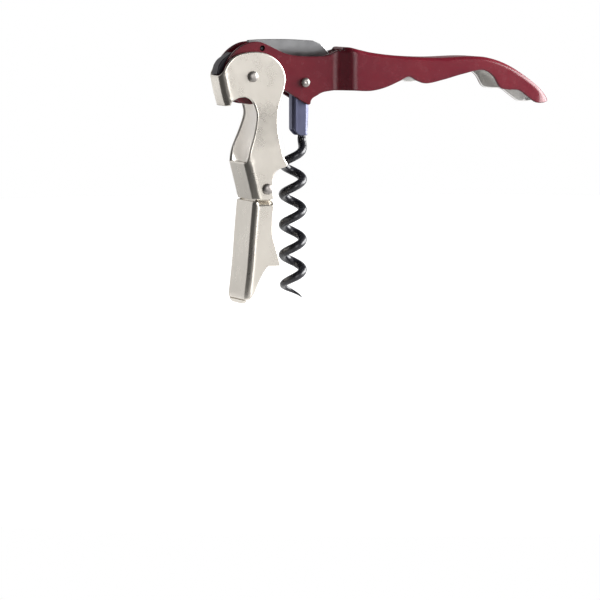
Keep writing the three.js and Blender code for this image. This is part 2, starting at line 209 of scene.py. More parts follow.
def eased(line: np.ndarray, reach: float, sharp_degrees: float = 24.0) -> np.ndarray:
    """A line whose sharp corners are rounded off.

    Args:
        line: an open line of (x, z) points.
        reach: how far from the corner its curve starts and ends.
        sharp_degrees: a smaller turn than this is no corner.

    Returns:
        The line with a short curve at each corner.
    """
    line = line[np.concatenate([[True], np.linalg.norm(np.diff(line, axis=0), axis=1) > 1e-6])]
    along = lengths_along(line)
    heading = np.diff(line, axis=0) / np.diff(along)[:, None]
    turns = np.arccos(np.clip(np.sum(heading[:-1] * heading[1:], axis=1), -1, 1))
    corners = [0, *(np.nonzero(turns > math.radians(sharp_degrees))[0] + 1), len(line) - 1]
    parts = [line[:1]]
    done = 0.0
    t = np.linspace(0, 1, 9)[:, None]
    for before, corner, after in zip(corners, corners[1:], corners[2:]):
        room = min(along[corner] - along[before], along[after] - along[corner])
        half = min(reach, 0.45 * room)
        entry = place_on(line, along, along[corner] - half)
        leave = place_on(line, along, along[corner] + half)
        parts.append(line[(along > done) & (along < along[corner] - half)])
        parts.append((1 - t) ** 2 * entry + 2 * t * (1 - t) * line[corner] + t**2 * leave)
        done = along[corner] + half
    parts.append(line[along > done])
    return np.vstack(parts)


def distance_to(points: np.ndarray, lines: Sequence[np.ndarray]) -> np.ndarray:
    """Distance of each point to the nearest of several lines.

    Args:
        points: rows of (x, z).
        lines: open lines of (x, z) points.

    Returns:
        One distance for each point.
    """
    starts = np.vstack([line[:-1] for line in lines])
    spans = np.vstack([np.diff(line, axis=0) for line in lines])
    squares = np.maximum(np.sum(spans**2, axis=1), 1e-12)
    nearest = np.empty(len(points))
    block = 2000
    for first in range(0, len(points), block):
        offset = points[first:first + block, None, :] - starts
        share = np.clip(np.sum(offset * spans, axis=2) / squares, 0, 1)
        away = offset - share[:, :, None] * spans
        nearest[first:first + block] = np.sqrt(np.min(np.sum(away**2, axis=2), axis=1))
    return nearest


def is_inside(points: np.ndarray, loop: np.ndarray) -> np.ndarray:
    """Whether each point lies inside a closed loop, which doesn't repeat its first point.

    Args:
        points: rows of (x, z).
        loop: the closed loop's points.

    Returns:
        One truth value for each point.
    """
    following = np.roll(loop, -1, axis=0)
    found = np.zeros(len(points), bool)
    for (x0, z0), (x1, z1) in zip(loop, following):
        spans = (z0 > points[:, 1]) != (z1 > points[:, 1])
        crossing = x0 + (x1 - x0) * (points[:, 1] - z0) / ((z1 - z0) or 1e-12)
        found ^= spans & (points[:, 0] < crossing)
    return found


def signed_area(loop: np.ndarray) -> float:
    """A closed loop's area, which is negative if it runs clockwise."""
    following = np.roll(loop, -1, axis=0)
    return float(np.sum(loop[:, 0] * following[:, 1] - following[:, 0] * loop[:, 1]) / 2)


def eased_ramp(
    values: np.ndarray, start: float, end: float, low: float, high: float, ease: float,
) -> np.ndarray:
    """A straight ramp between two levels, with both its knees rounded.

    Args:
        values: where to read it.
        start: where it leaves the low level.
        end: where it reaches the high one, past start.
        low: level before it.
        high: level after it.
        ease: half the length over which each knee turns.

    Returns:
        The ramp's level at each value.
    """

    def knee(offset: np.ndarray) -> np.ndarray:
        """Zero before the knee and the offset after it, with a parabola between."""
        turning = np.clip(offset + ease, 0, 2 * ease) ** 2 / (4 * ease)
        return np.where(offset > ease, offset, turning)

    slope = (high - low) / (end - start)
    return low + slope * (knee(values - start) - knee(values - end))


def smooth_step(values: np.ndarray, start: float, end: float) -> np.ndarray:
    """A smooth rise from 0 at start to 1 at end."""
    share = np.clip((values - start) / (end - start), 0, 1)
    return share**2 * (3 - 2 * share)


# ---------- Surfaces ----------


@dataclass
class Surface:
    """A closed surface in millimetres.

    Attributes:
        vertices: rows of (x, y, z).
        faces: each face's vertex numbers, facing out.
        finishes: which of the piece's finishes each face has.
        wear: how exposed each vertex is, from 0 to 1.
    """

    vertices: np.ndarray
    faces: list[tuple[int, ...]]
    finishes: list[int] = field(default_factory=list)
    wear: np.ndarray | None = None


def triangles_of(faces: Sequence[tuple[int, ...]]) -> np.ndarray:
    """Every face cut into triangles, as rows of three vertex numbers."""
    return np.array([(f[0], f[i], f[i + 1]) for f in faces for i in range(1, len(f) - 1)])


def vertex_normals(vertices: np.ndarray, faces: Sequence[tuple[int, ...]]) -> np.ndarray:
    """Unit normals at the vertices, weighted by the area of the faces round each.

    Args:
        vertices: rows of (x, y, z).
        faces: each face's vertex numbers.

    Returns:
        One unit vector for each vertex.
    """
    corners = triangles_of(faces)
    a, b, c = (vertices[corners[:, i]] for i in range(3))
    across = np.cross(b - a, c - a)
    normals = np.zeros_like(vertices)
    for i in range(3):
        np.add.at(normals, corners[:, i], across)
    return normals / np.maximum(np.linalg.norm(normals, axis=1), 1e-12)[:, None]


def open_edges(faces: Sequence[tuple[int, ...]]) -> list[tuple[int, int]]:
    """The edges that only one face has, in that face's direction."""
    edges = {(a, b) for f in faces for a, b in zip(f, f[1:] + f[:1])}
    return [(a, b) for a, b in sorted(edges) if (b, a) not in edges]


def closed_shell(
    front: np.ndarray, back: np.ndarray, faces: list[tuple[int, ...]], rim: np.ndarray,
    back_finish: int = 0,
) -> Surface:
    """A skin and its copy behind it, joined by a band round their rims.

    Args:
        front: the skin's vertices.
        back: the copy's, in the same order.
        faces: the skin's faces, facing out.
        rim: each vertex's distance from the nearest rim.
        back_finish: which of the piece's finishes the copy has.

    Returns:
        The closed surface.
    """
    count = len(front)
    behind = [tuple(i + count for i in reversed(f)) for f in faces]
    band = [(b, a, a + count, b + count) for a, b in open_edges(faces)]
    finishes = [0] * len(faces) + [back_finish] * len(behind) + [0] * len(band)
    wear = np.tile(np.exp(-rim / WEAR_REACH), 2)
    return Surface(np.vstack([front, back]), faces + behind + band, finishes, wear)


def rounding(distance: np.ndarray, radius: np.ndarray | float) -> np.ndarray:
    """How far a quarter-round edge falls away at a distance from its rim."""
    left = np.clip(radius - distance, 0, None)
    return radius - np.sqrt(np.maximum(radius**2 - left**2, 0))


def quarter_steps(radius: float, steps: int) -> np.ndarray:
    """Distances from a rim at which a quarter round turns by equal angles, then one past it."""
    angles = np.linspace(0, math.pi / 2, steps + 1)[1:]
    return np.append(radius * (1 - np.cos(angles)), PAST_RIM * radius)


@dataclass
class Face:
    """A flat outline cut into triangles, with rows of points along its edges.

    Attributes:
        loop: its outline, as (x, z), without the first point repeated.
        holes: loops cut out of it.
        rows: for each stretch of points, (points, distances inwards).
        columns: x of the points inside.
        levels: z of the points inside.
        margin: how far the points inside keep from the outline.
    """

    loop: np.ndarray
    holes: list[np.ndarray]
    rows: list[tuple[np.ndarray, np.ndarray]]
    columns: np.ndarray
    levels: np.ndarray
    margin: float

    def extra_points(self) -> np.ndarray:
        """Points inside the outline: rows along its edges, and a grid.

        Returns:
            Rows of (x, z).
        """
        rims = [np.vstack([loop, loop[:1]]) for loop in [self.loop, *self.holes]]
        side = 1.0 if signed_area(self.loop) > 0 else -1.0
        found = []
        for line, distances in self.rows:
            heading = np.gradient(line, axis=0)
            heading /= np.maximum(np.linalg.norm(heading, axis=1), 1e-9)[:, None]
            inwards = side * np.column_stack([-heading[:, 1], heading[:, 0]])
            for distance in distances:
                row = line[1:-1] + distance * inwards[1:-1]
                clear = distance_to(row, rims) > 0.9 * distance
                found.append(row[clear])
        grid = np.stack(np.meshgrid(self.columns, self.levels), axis=-1).reshape(-1, 2)
        found.append(grid[distance_to(grid, rims) > self.margin])
        points = np.vstack(found)
        within = is_inside(points, self.loop)
        for hole in self.holes:
            within &= ~is_inside(points, hole)
        return points[within]

    def cut(self) -> tuple[np.ndarray, list[tuple[int, ...]]]:
        """Triangulates the outline.

        Returns:
            The points, with the outline's first and in order, and the triangles' point numbers,
            which run anticlockwise.
        """
        loops = [self.loop, *self.holes]
        edges, outside = [], set()
        first = 0
        for number, loop in enumerate(loops):
            numbers = np.arange(first, first + len(loop))
            pairs = list(zip(numbers.tolist(), np.roll(numbers, -1).tolist()))
            edges += pairs
            is_forward = (signed_area(loop) > 0) == (number == 0)
            outside.update((b, a) if is_forward else (a, b) for a, b in pairs)
            first += len(loop)
        points = np.vstack([*loops, self.extra_points()])
        vectors = [Vector(p) for p in points]
        cut = delaunay_2d_cdt(vectors, edges, [], 0, 1e-6)
        where, faces, sources = np.array([tuple(p) for p in cut[0]]), cut[2], cut[3]
        middles = np.array([where[list(f)].mean(axis=0) for f in faces])
        kept = is_inside(middles, self.loop)
        for hole in self.holes:
            kept &= ~is_inside(middles, hole)
        source = np.array([ids[0] for ids in sources])
        triangles = [tuple(int(source[i]) for i in f) for f, keep in zip(faces, kept) if keep]
        return points, [t for t in triangles if outside.isdisjoint(zip(t, t[1:] + t[:1]))]


def ring(centre: np.ndarray, radius: float, sides: int = 28) -> np.ndarray:
    """A closed circle of points, without the first repeated."""
    return arc(centre, (radius, radius), 0, 360, sides)[:-1]


@dataclass
class FoldedSheet:
    """Sheet metal folded to a channel: two mirrored cheeks joined by a web along fold lines.

    Attributes:
        folds: fold lines of the near cheek's outline, in order round it.
        edges: the cut edge that follows each fold, without the ends that it shares with folds.
        half_width: outer half width across the cheeks, at given x and z.
        thickness: of the sheet.
        bend: outer radius of the folds.
        edge: radius of the rounded rim.
        columns: x of the points inside a cheek.
        levels: z of the points inside a cheek.
        holes: (centre, radius) of each bore through both cheeks.
        tongue: rows of (x, z, half width) where the web runs on past the last fold.
        corner: how far each corner of a cut edge is rounded.
        spacing: of the points along the outline.
    """

    folds: list[np.ndarray]
    edges: list[np.ndarray]
    half_width: Callable[[np.ndarray, np.ndarray], np.ndarray]
    thickness: float
    bend: float
    edge: float
    columns: np.ndarray
    levels: np.ndarray
    holes: list[tuple[np.ndarray, float]] = field(default_factory=list)
    tongue: np.ndarray | None = None
    corner: float = 0.6
    spacing: float = 0.42

    def respaced(self, line: np.ndarray, is_fold: bool) -> np.ndarray:
        """A line's points spaced evenly over the outer surface, closer at a fold's ends.

        Args:
            line: an open line of (x, z) points.
            is_fold: whether it is a fold, whose ends meet cut edges.

        Returns:
            The new points, ends included.
        """
        along = lengths_along(line)
        fine = place_on(line, along, np.linspace(0, along[-1], int(along[-1] / 0.04) + 2))
        lifted = np.column_stack([fine, self.half_width(fine[:, 0], fine[:, 1])])
        along = lengths_along(lifted)
        where = np.linspace(0, along[-1], max(2, round(along[-1] / self.spacing)) + 1)
        if is_fold:
            ends = quarter_steps(self.edge, RIM_STEPS)
            inner = where[(where > ends[-1] + 0.1) & (where < along[-1] - ends[-1] - 0.1)]
            where = np.concatenate([[0], ends, inner, along[-1] - ends[::-1], [along[-1]]])
        return place_on(fine, along, where)

    def outline(self) -> tuple[list[np.ndarray], list[np.ndarray]]:
        """The respaced fold lines, and the respaced cut edges with the ends that they share.

        Returns:
            The folds and the cut edges, each in order round the outline.
        """
        folds = [self.respaced(line, True) for line in self.folds]
        edges = []
        for number, line in enumerate(self.edges):
            whole = np.vstack([folds[number][-1:], line, folds[(number + 1) % len(folds)][:1]])
            edges.append(self.respaced(eased(whole, self.corner), False))
        return folds, edges

    def past_ends(self, line: np.ndarray) -> np.ndarray:
        """A fold line run on straight at both ends, so that distances to it stay square.

        Args:
            line: a fold line.

        Returns:
            The longer line.
        """
        reach = 1.5 * self.bend
        first = line[0] + reach * (line[0] - line[1]) / np.linalg.norm(line[0] - line[1])
        last = line[-1] + reach * (line[-1] - line[-2]) / np.linalg.norm(line[-1] - line[-2])
        return np.vstack([first, line, last])

    def outer_half(self, points: np.ndarray, folds: list[np.ndarray]) -> np.ndarray:
        """Outer half width at points of a cheek, with the fold's round taken off.

        Args:
            points: rows of (x, z).
            folds: the fold lines.

        Returns:
            One half width for each point.
        """
        half = self.half_width(points[:, 0], points[:, 1])
        away = distance_to(points, [self.past_ends(line) for line in folds])
        return half - rounding(away, np.minimum(self.bend, 0.85 * half))

    def skin(self) -> tuple[np.ndarray, list[tuple[int, ...]], np.ndarray]:
        """The sheet's outer surface.

        Returns:
            Its vertices, its faces, and each vertex's distance from the nearest cut edge.
        """
        folds, edges = self.outline()
        stretches = [line for pair in zip(folds, edges) for line in pair]
        loop = np.vstack([line[:-1] for line in stretches])
        holes = [ring(centre, radius) for centre, radius in self.holes]
        rows = [(line, quarter_steps(self.bend, BEND_STEPS)) for line in folds]
        rows += [(line, quarter_steps(self.edge, RIM_STEPS)) for line in edges]
        margin = SHEET_MARGIN + PAST_RIM * self.edge
        cheek = Face(loop, holes, rows, self.columns, self.levels, margin)
        points, faces = cheek.cut()
        half = self.outer_half(points, folds)
        near = np.column_stack([points[:, 0], -half, points[:, 1]])
        far = near * (1, -1, 1)
        count = len(points)
        twin = np.where(half < 1e-4, np.arange(count), np.arange(count) + count)
        faces += [tuple(int(twin[i]) for i in reversed(t)) for t in faces]
        vertices = [near, far]
        rims = [np.abs(distance_to(points, edges))] * 2
        outward = signed_area(loop) > 0
        first = 0
        extra = 2 * count
        for number, (fold, edge) in enumerate(zip(folds, edges)):
            numbers = np.arange(first, first + len(fold)) % len(loop)
            first += len(fold) + len(edge) - 2
            tail = self.tongue if self.tongue is not None and number == len(folds) - 1 else None
            grown, rim, strip = self.web(numbers, near, twin, extra, tail, rims[0])
            extra += len(grown)
            vertices.append(grown)
            rims.append(rim)
            faces += [tuple(q) if outward else tuple(reversed(q)) for q in strip]
        vertices = np.vstack(vertices)
        faces = [tuple(dict.fromkeys(f)) for f in faces]
        faces = [f for f in faces if len(f) > 2]
        used = np.unique(np.concatenate(faces))
        renumbered = np.zeros(len(vertices), int)
        renumbered[used] = np.arange(len(used))
        faces = [tuple(renumbered[list(f)].tolist()) for f in faces]
        return vertices[used], faces, np.concatenate(rims)[used]

    def web(
        self, numbers: np.ndarray, near: np.ndarray, twin: np.ndarray, extra: int,
        tail: np.ndarray | None, rim: np.ndarray,
    ) -> tuple[np.ndarray, np.ndarray, list[tuple[int, ...]]]:
        """The strip across from one cheek's fold line to the other's.

        Args:
            numbers: the fold line's vertex numbers, in order.
            near: the near cheek's vertices.
            twin: for each of them, the number of its mirror image.
            extra: the number that the first new vertex gets.
            tail: the tongue's rows, if the strip runs on.
            rim: distance of the near cheek's vertices from a cut edge.

        Returns:
            The new vertices, their distances from a cut edge, and the faces, which face out if
            the outline runs anticlockwise.
        """
        close = quarter_steps(self.edge, RIM_STEPS)
        widest = float(np.max(-near[numbers, 1]))
        inner = np.linspace(-1, 1, max(3, round(2 * widest / WEB_SPACING)))[1:-1]
        grown, distances, rows = [], [], []

        def add_row(x: float, z: float, half: float, ends: tuple[int, int] | None, edge: Callable) -> None:
            """Adds one row of the strip, whose ends are either the cheeks' vertices or new ones.

            Args:
                x: where it lies along x.
                z: its height.
                half: its half width.
                ends: the cheeks' vertices at its ends, or None for new ones.
                edge: gives a place's distance from a cut edge by its y.
            """
            row = []
            near_edge = half - close[close < RIM_SHARE * half]
            flat = (near_edge[-1] if len(near_edge) else FLAT_SHARE * half) * inner * FLAT_INSET
            across = np.concatenate([-near_edge, flat, near_edge[::-1]])
            if ends is None:
                across = np.concatenate([[-half], across, [half]])
            for y in across:
                row.append(extra + len(grown))
                grown.append((x, y, z))
                distances.append(edge(y))
            rows.append(row if ends is None else [ends[0], *row, ends[1]])

        for number in numbers:
            x, y, z = near[number]
            if -y < WIDE_ROW * self.edge:
                rows.append([int(number), int(twin[number])])
                continue
            add_row(x, z, -y, (int(number), int(twin[number])), lambda _, d=rim[number]: d)
        if tail is not None:
            flat = np.column_stack([lengths_along(tail[:, :2]), tail[:, 2]])
            border = [np.vstack([flat, [flat[-1, 0], 0]])]
            for (x, z, half), (along, _) in zip(tail[1:], flat[1:]):
                add_row(x, z, half, None, lambda y, s=along: float(
                    distance_to(np.array([[s, abs(y)]]), border)[0]))
        strip = []
        for row, following in zip(rows, rows[1:]):
            if len(row) == len(following):
                for i in range(len(row) - 1):
                    strip.append((row[i], row[i + 1], following[i + 1], following[i]))
            else:
                wide, slim = (row, following) if len(row) > len(following) else (following, row)
                middle = len(wide) // 2
                fan = [
                    (wide[i], wide[i + 1], slim[0 if i < middle else -1])
                    for i in range(len(wide) - 1)
                ]
                fan.append((wide[middle], slim[-1], slim[0]))
                strip += fan if wide is row else [tuple(reversed(f)) for f in fan]
        return np.array(grown).reshape(-1, 3), np.array(distances), strip

    def surface(self) -> Surface:
        """The whole sheet: its outer skin, its inner skin and the rounded rim between them.

        Returns:
            The closed surface, whose inner skin has the second finish.
        """
        outer, faces, rim = self.skin()
        normals = vertex_normals(outer, faces)
        fall = rounding(rim, self.edge)[:, None]
        inner = outer - normals * (self.thickness - fall)
        return closed_shell(outer - normals * fall, inner, faces, rim, 1)


@dataclass
class Plate:
    """A flat piece between two faces, y = -half and y = +half.

    Attributes:
        line: its outline as an open line, whose ends are joined.
        half: half thickness at given points.
        edge: radius of the rounded rim.
        holes: (centre, radius) of each bore.
        grid: spacing of the points inside.
        corner: how far each corner is rounded.
        spacing: of the points along the outline.
    """

    line: np.ndarray
    half: Callable[[np.ndarray], np.ndarray]
    edge: float
    holes: list[tuple[np.ndarray, float]] = field(default_factory=list)
    grid: float = 0.9
    corner: float = 0.5
    spacing: float = 0.4

    def surface(self) -> Surface:
        """Both faces and the rim between them.

        Returns:
            The closed surface.
        """
        line = eased(np.vstack([self.line, self.line[:1]]), self.corner)
        along = lengths_along(line)
        rim_line = place_on(line, along, np.linspace(0, along[-1], round(along[-1] / self.spacing)))
        loop = rim_line[:-1]
        low, high = loop.min(axis=0), loop.max(axis=0)
        face = Face(
            loop, [ring(c, r) for c, r in self.holes], [(rim_line, quarter_steps(self.edge, RIM_STEPS))],
            np.arange(low[0], high[0], self.grid), np.arange(low[1], high[1], self.grid),
            PLATE_MARGIN + PAST_RIM * self.edge,
        )
        points, triangles = face.cut()
        rim = distance_to(points, [rim_line])
        half = np.maximum(self.half(points) - rounding(rim, self.edge), SLIVER)
        near = np.column_stack([points[:, 0], -half, points[:, 1]])
        return closed_shell(near, near * (1, -1, 1), triangles, rim)


def turned(profile: Points, centre: np.ndarray, sides: int = 48) -> Surface:
    """A piece turned about an axis along y.

    Args:
        profile: its half section as (radius, y), from the axis to the axis, or a closed loop
            of points off the axis.
        centre: where the axis crosses the plane of symmetry.
        sides: faces round it.

    Returns:
        Its closed surface.
    """
    line = np.asarray(profile, float)
    closed = line[0, 0] > 1e-6
    angles = np.linspace(0, 2 * math.pi, sides, endpoint=False)
    vertices, rows = [], []
    for radius, y in line:
        start = len(vertices)
        around = [0.0] if radius < 1e-6 else angles
        vertices += [
            (centre[0] + radius * math.cos(a), y, centre[1] + radius * math.sin(a)) for a in around
        ]
        rows.append([start] * sides if len(around) == 1 else list(range(start, start + sides)))
    if closed:
        rows.append(rows[0])
    faces = []
    for row, following in zip(rows, rows[1:]):
        for i in range(sides):
            j = (i + 1) % sides
            face = tuple(dict.fromkeys((following[i], following[j], row[j], row[i])))
            if len(face) > 2:
                faces.append(face)
    return Surface(np.array(vertices), faces, [0] * len(faces), np.zeros(len(vertices)))


def new_object(name: str, data: bpy.types.ID) -> bpy.types.Object:
    """A new object in the scene.

    Args:
        name: its name.
        data: its mesh, lamp or camera.

    Returns:
        The object.
    """
    thing = bpy.data.objects.new(name, data)
    bpy.context.scene.collection.objects.link(thing)
    return thing


def write_piece(
    name: str, surface: Surface, body: Body, slot: Slot, materials: list[Material],
    *nodes: str,
) -> None:
    """Makes a surface an object that rides on a body and stands for CAD nodes.

    Args:
        name: the piece's name.
        surface: its shape, in millimetres.
        body: what it moves with.
        slot: the record's slot that its finish belongs to; not used.
        materials: its finishes, in the order that its faces number them.
        nodes: the CAD nodes that it replaces.
    """
    mesh = bpy.data.meshes.new(name)
    mesh.from_pydata((surface.vertices * MM).tolist(), [], surface.faces)
    for material in materials:
        mesh.materials.append(material)
    mesh.polygons.foreach_set("material_index", surface.finishes)
    mesh.polygons.foreach_set("use_smooth", [True] * len(surface.faces))
    wear = mesh.attributes.new("wear", "FLOAT", "POINT")
    wear.data.foreach_set("value", surface.wear.astype(np.float32))
    mesh.validate()
    mesh.update()
    mesh.set_sharp_from_angle(angle=math.radians(SHARP_DEGREES))
    piece = new_object(name, mesh)
    weighted = piece.modifiers.new("even_shading", "WEIGHTED_NORMAL")
    weighted.keep_sharp = True
    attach(piece, body.value)
    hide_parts(*nodes)
    log.info("%s: %d faces on %s", name, len(surface.faces), body.value)


# ---------- Finishes ----------


class NodeGraph:
    """A material's nodes, with a short call for each kind that the finishes use."""

    def __init__(self, name: str) -> None:
        """Starts a material that has only its surface shader.

        Args:
            name: the material's name.
        """
        self.material = bpy.data.materials.new(name)
        self.material.use_nodes = True
        self.tree = self.material.node_tree
        self.shader = self.tree.nodes["Principled BSDF"]

    def add(self, kind: str, **settings: object) -> bpy.types.Node:
        """Adds a node, and sets its own properties by name.

        Args:
            kind: the node's type.
            settings: values of its own properties.

        Returns:
            The node.
        """
        node = self.tree.nodes.new(kind)
        for key, value in settings.items():
            setattr(node, key, value)
        return node

    def join(self, output: Socket, socket: Socket) -> None:
        """Links two sockets."""
        self.tree.links.new(output, socket)

    def places(self, per_mm: Triple) -> Socket:
        """Places on the piece itself, stretched so that one unit is 1 / per_mm millimetres.

        Args:
            per_mm: units in a millimetre along x, y and z.

        Returns:
            The places' socket.
        """
        source = self.add("ShaderNodeTexCoord")
        mapping = self.add("ShaderNodeMapping")
        mapping.inputs["Scale"].default_value = [value / MM for value in per_mm]
        self.join(source.outputs["Object"], mapping.inputs["Vector"])
        return mapping.outputs["Vector"]

    def noise(self, per_mm: Triple, detail: float = 3.0, roughness: float = 0.5) -> Socket:
        """Soft noise on the piece, from about 0.3 to 0.7.

        Args:
            per_mm: how fine it is along x, y and z.
            detail: how many finer layers it has.
            roughness: how strong they are.

        Returns:
            The noise's socket.
        """
        node = self.add("ShaderNodeTexNoise")
        node.inputs["Scale"].default_value = 1.0
        node.inputs["Detail"].default_value = detail
        node.inputs["Roughness"].default_value = roughness
        self.join(self.places(per_mm), node.inputs["Vector"])
        return node.outputs["Fac"]

    def spots(self, per_mm: float) -> Socket:
        """Distance from the nearest of many scattered points.

        Args:
            per_mm: how many lie along a millimetre.

        Returns:
            The distance's socket.
        """
        node = self.add("ShaderNodeTexVoronoi")
        node.inputs["Scale"].default_value = 1.0
        self.join(self.places((per_mm, per_mm, per_mm)), node.inputs["Vector"])
        return node.outputs["Distance"]

    def span(self, value: Socket, low: float, high: float, to_low: float, to_high: float) -> Socket:
        """Maps a value's range onto another, held at its ends.

        Args:
            value: what is mapped.
            low: start of its range.
            high: end of its range.
            to_low: what the start becomes.
            to_high: what the end becomes.

        Returns:
            The result's socket.
        """
        node = self.add("ShaderNodeMapRange")
        self.join(value, node.inputs["Value"])
        for name, number in zip(("From Min", "From Max", "To Min", "To Max"), (low, high, to_low, to_high)):
            node.inputs[name].default_value = number
        return node.outputs["Result"]

    def times(self, first: Socket, second: Socket) -> Socket:
        """Two values multiplied.

        Args:
            first: one value.
            second: the other value.

        Returns:
            The product's socket.
        """
        node = self.add("ShaderNodeMath", operation="MULTIPLY")
        self.join(first, node.inputs[0])
        self.join(second, node.inputs[1])
        return node.outputs[0]

    def blend(self, share: Socket, first: Triple | Socket, second: Triple) -> Socket:
        """One colour turning into another.

        Args:
            share: 0 for the first colour and 1 for the second.
            first: a colour, or the socket of one.
            second: a colour.

        Returns:
            The blended colour's socket.
        """
        node = self.add("ShaderNodeMix", data_type="RGBA")
        self.join(share, node.inputs[0])
        if isinstance(first, tuple):
            node.inputs[6].default_value = (*first, 1)
        else:
            self.join(first, node.inputs[6])
        node.inputs[7].default_value = (*second, 1)
        return node.outputs[2]

    def exposed(self) -> Socket:
        """How exposed each place is, from 0 on a broad face to 1 on a rim."""
        return self.add("ShaderNodeAttribute", attribute_name="wear").outputs["Fac"]

    def bump(self, height: Socket, depth_mm: float, under: Socket | None = None) -> Socket:
        """A surface that rises with a value, by depth_mm from 0 to 1.

        Args:
            height: the value.
            depth_mm: how far the surface rises.
            under: a bump that this one lies on.

        Returns:
            The normal's socket.
        """
        node = self.add("ShaderNodeBump")
        node.inputs["Strength"].default_value = 1.0
        node.inputs["Distance"].default_value = depth_mm * MM
        self.join(height, node.inputs["Height"])
        if under is not None:
            self.join(under, node.inputs["Normal"])
        return node.outputs["Normal"]

    def set(self, **values: float) -> None:
        """Sets the shader's own sockets, whose names have spaces for underscores."""
        for key, value in values.items():
            self.shader.inputs[key.replace("_", " ")].default_value = value

    def feed(self, **outputs: Socket) -> None:
        """Links the shader's sockets, whose names have spaces for underscores."""
        for key, output in outputs.items():
            self.join(output, self.shader.inputs[key.replace("_", " ")])


@dataclass(frozen=True)
class Enamel:
    """Glossy baked enamel, with an even skin, faint clouding and dulled rims."""

    name: str = "burgundy_enamel"
    colour: Triple = (0.15, 0.008, 0.02)
    clouded: Triple = (0.172, 0.011, 0.022)
    worn: Triple = (0.075, 0.012, 0.02)
    peel_mm: float = 0.0014

    def make(self) -> Material:
        """The finish as a material.

        Returns:
            The material.
        """
        graph = NodeGraph(self.name)
        clouds = graph.span(graph.noise((0.09, 0.09, 0.09), 4), 0.35, 0.65, 0, 1)
        colour = graph.blend(clouds, self.colour, self.clouded)
        grit = graph.span(graph.noise((2.2, 2.2, 2.2), 4, 0.65), 0.42, 0.62, 0.2, 1)
        rubbed = graph.times(graph.exposed(), grit)
        graph.feed(Base_Color=graph.blend(rubbed, colour, self.worn))
        smears = graph.noise((0.35, 0.5, 0.35), 5, 0.6)
        graph.feed(Roughness=graph.span(smears, 0.3, 0.7, 0.2, 0.3))
        graph.set(Metallic=0.0, Specular_IOR_Level=0.3)
        peel = graph.bump(graph.noise((1.1, 1.1, 1.1), 2), self.peel_mm)
        graph.feed(Normal=graph.bump(graph.noise((6, 6, 6), 2), 0.0003, peel))
        return graph.material


@dataclass(frozen=True)
class PlatedSteel:
    """Bright plated or bare sheet steel, with fine grain, faint clouding and handling marks."""

    name: str
    colour: Triple
    clouded: Triple
    roughness: tuple[float, float] = (0.26, 0.31)
    grain: Triple = (3.0, 3.0, 0.25)
    grain_mm: float = 0.0002
    wave_mm: float = 0.0012

    def make(self) -> Material:
        """The finish as a material.

        Returns:
            The material.
        """
        graph = NodeGraph(self.name)
        clouds = graph.span(graph.noise((0.11, 0.11, 0.07), 4), 0.35, 0.65, 0, 1)
        colour = graph.blend(clouds, self.colour, self.clouded)
        specks = graph.span(graph.spots(1.6), 0.03, 0.09, 1, 0)
        few = graph.span(graph.noise((0.4, 0.4, 0.4), 2), 0.62, 0.7, 0, 0.25)
        marked = graph.blend(graph.times(specks, few), colour, tuple(0.45 * c for c in self.colour))
        graph.feed(Base_Color=marked)
        smears = graph.noise((0.25, 0.4, 0.18), 5, 0.65)
        graph.feed(Roughness=graph.span(smears, 0.3, 0.7, *self.roughness))
        graph.set(Metallic=1.0)
        wave = graph.bump(graph.noise((0.16, 0.16, 0.1), 1), self.wave_mm)
        lines = graph.noise(self.grain, 5, 0.7)
        graph.feed(Normal=graph.bump(lines, self.grain_mm, wave))
        return graph.material


@dataclass(frozen=True)
class CoatedSteel:
    """Steel under a dark coat or oxide, with pale specks where it is thin."""

    name: str
    colour: Triple
    speck: Triple
    metal: float
    roughness: tuple[float, float]
    speck_share: float = 0.6
    pits_mm: float = 0.004

    def make(self) -> Material:
        """The finish as a material.

        Returns:
            The material.
        """
        graph = NodeGraph(self.name)
        specks = graph.span(graph.spots(2.6), 0.1, 0.24, 1, 0)
        few = graph.span(graph.noise((0.8, 0.8, 0.8), 3), 0.52, 0.66, 0, self.speck_share)
        grit = graph.span(graph.noise((1.5, 1.5, 1.5), 3), 0.45, 0.6, 0, 0.35)
        rubbed = graph.times(graph.exposed(), grit)
        colour = graph.blend(graph.times(specks, few), self.colour, self.speck)
        graph.feed(Base_Color=graph.blend(rubbed, colour, self.speck))
        graph.feed(Roughness=graph.span(graph.noise((0.5, 0.5, 0.5), 4), 0.3, 0.7, *self.roughness))
        graph.set(Metallic=self.metal)
        graph.feed(Normal=graph.bump(graph.noise((3.0, 3.0, 3.0), 4, 0.6), self.pits_mm))
        return graph.material


# ---------- Sub-assemblies ----------


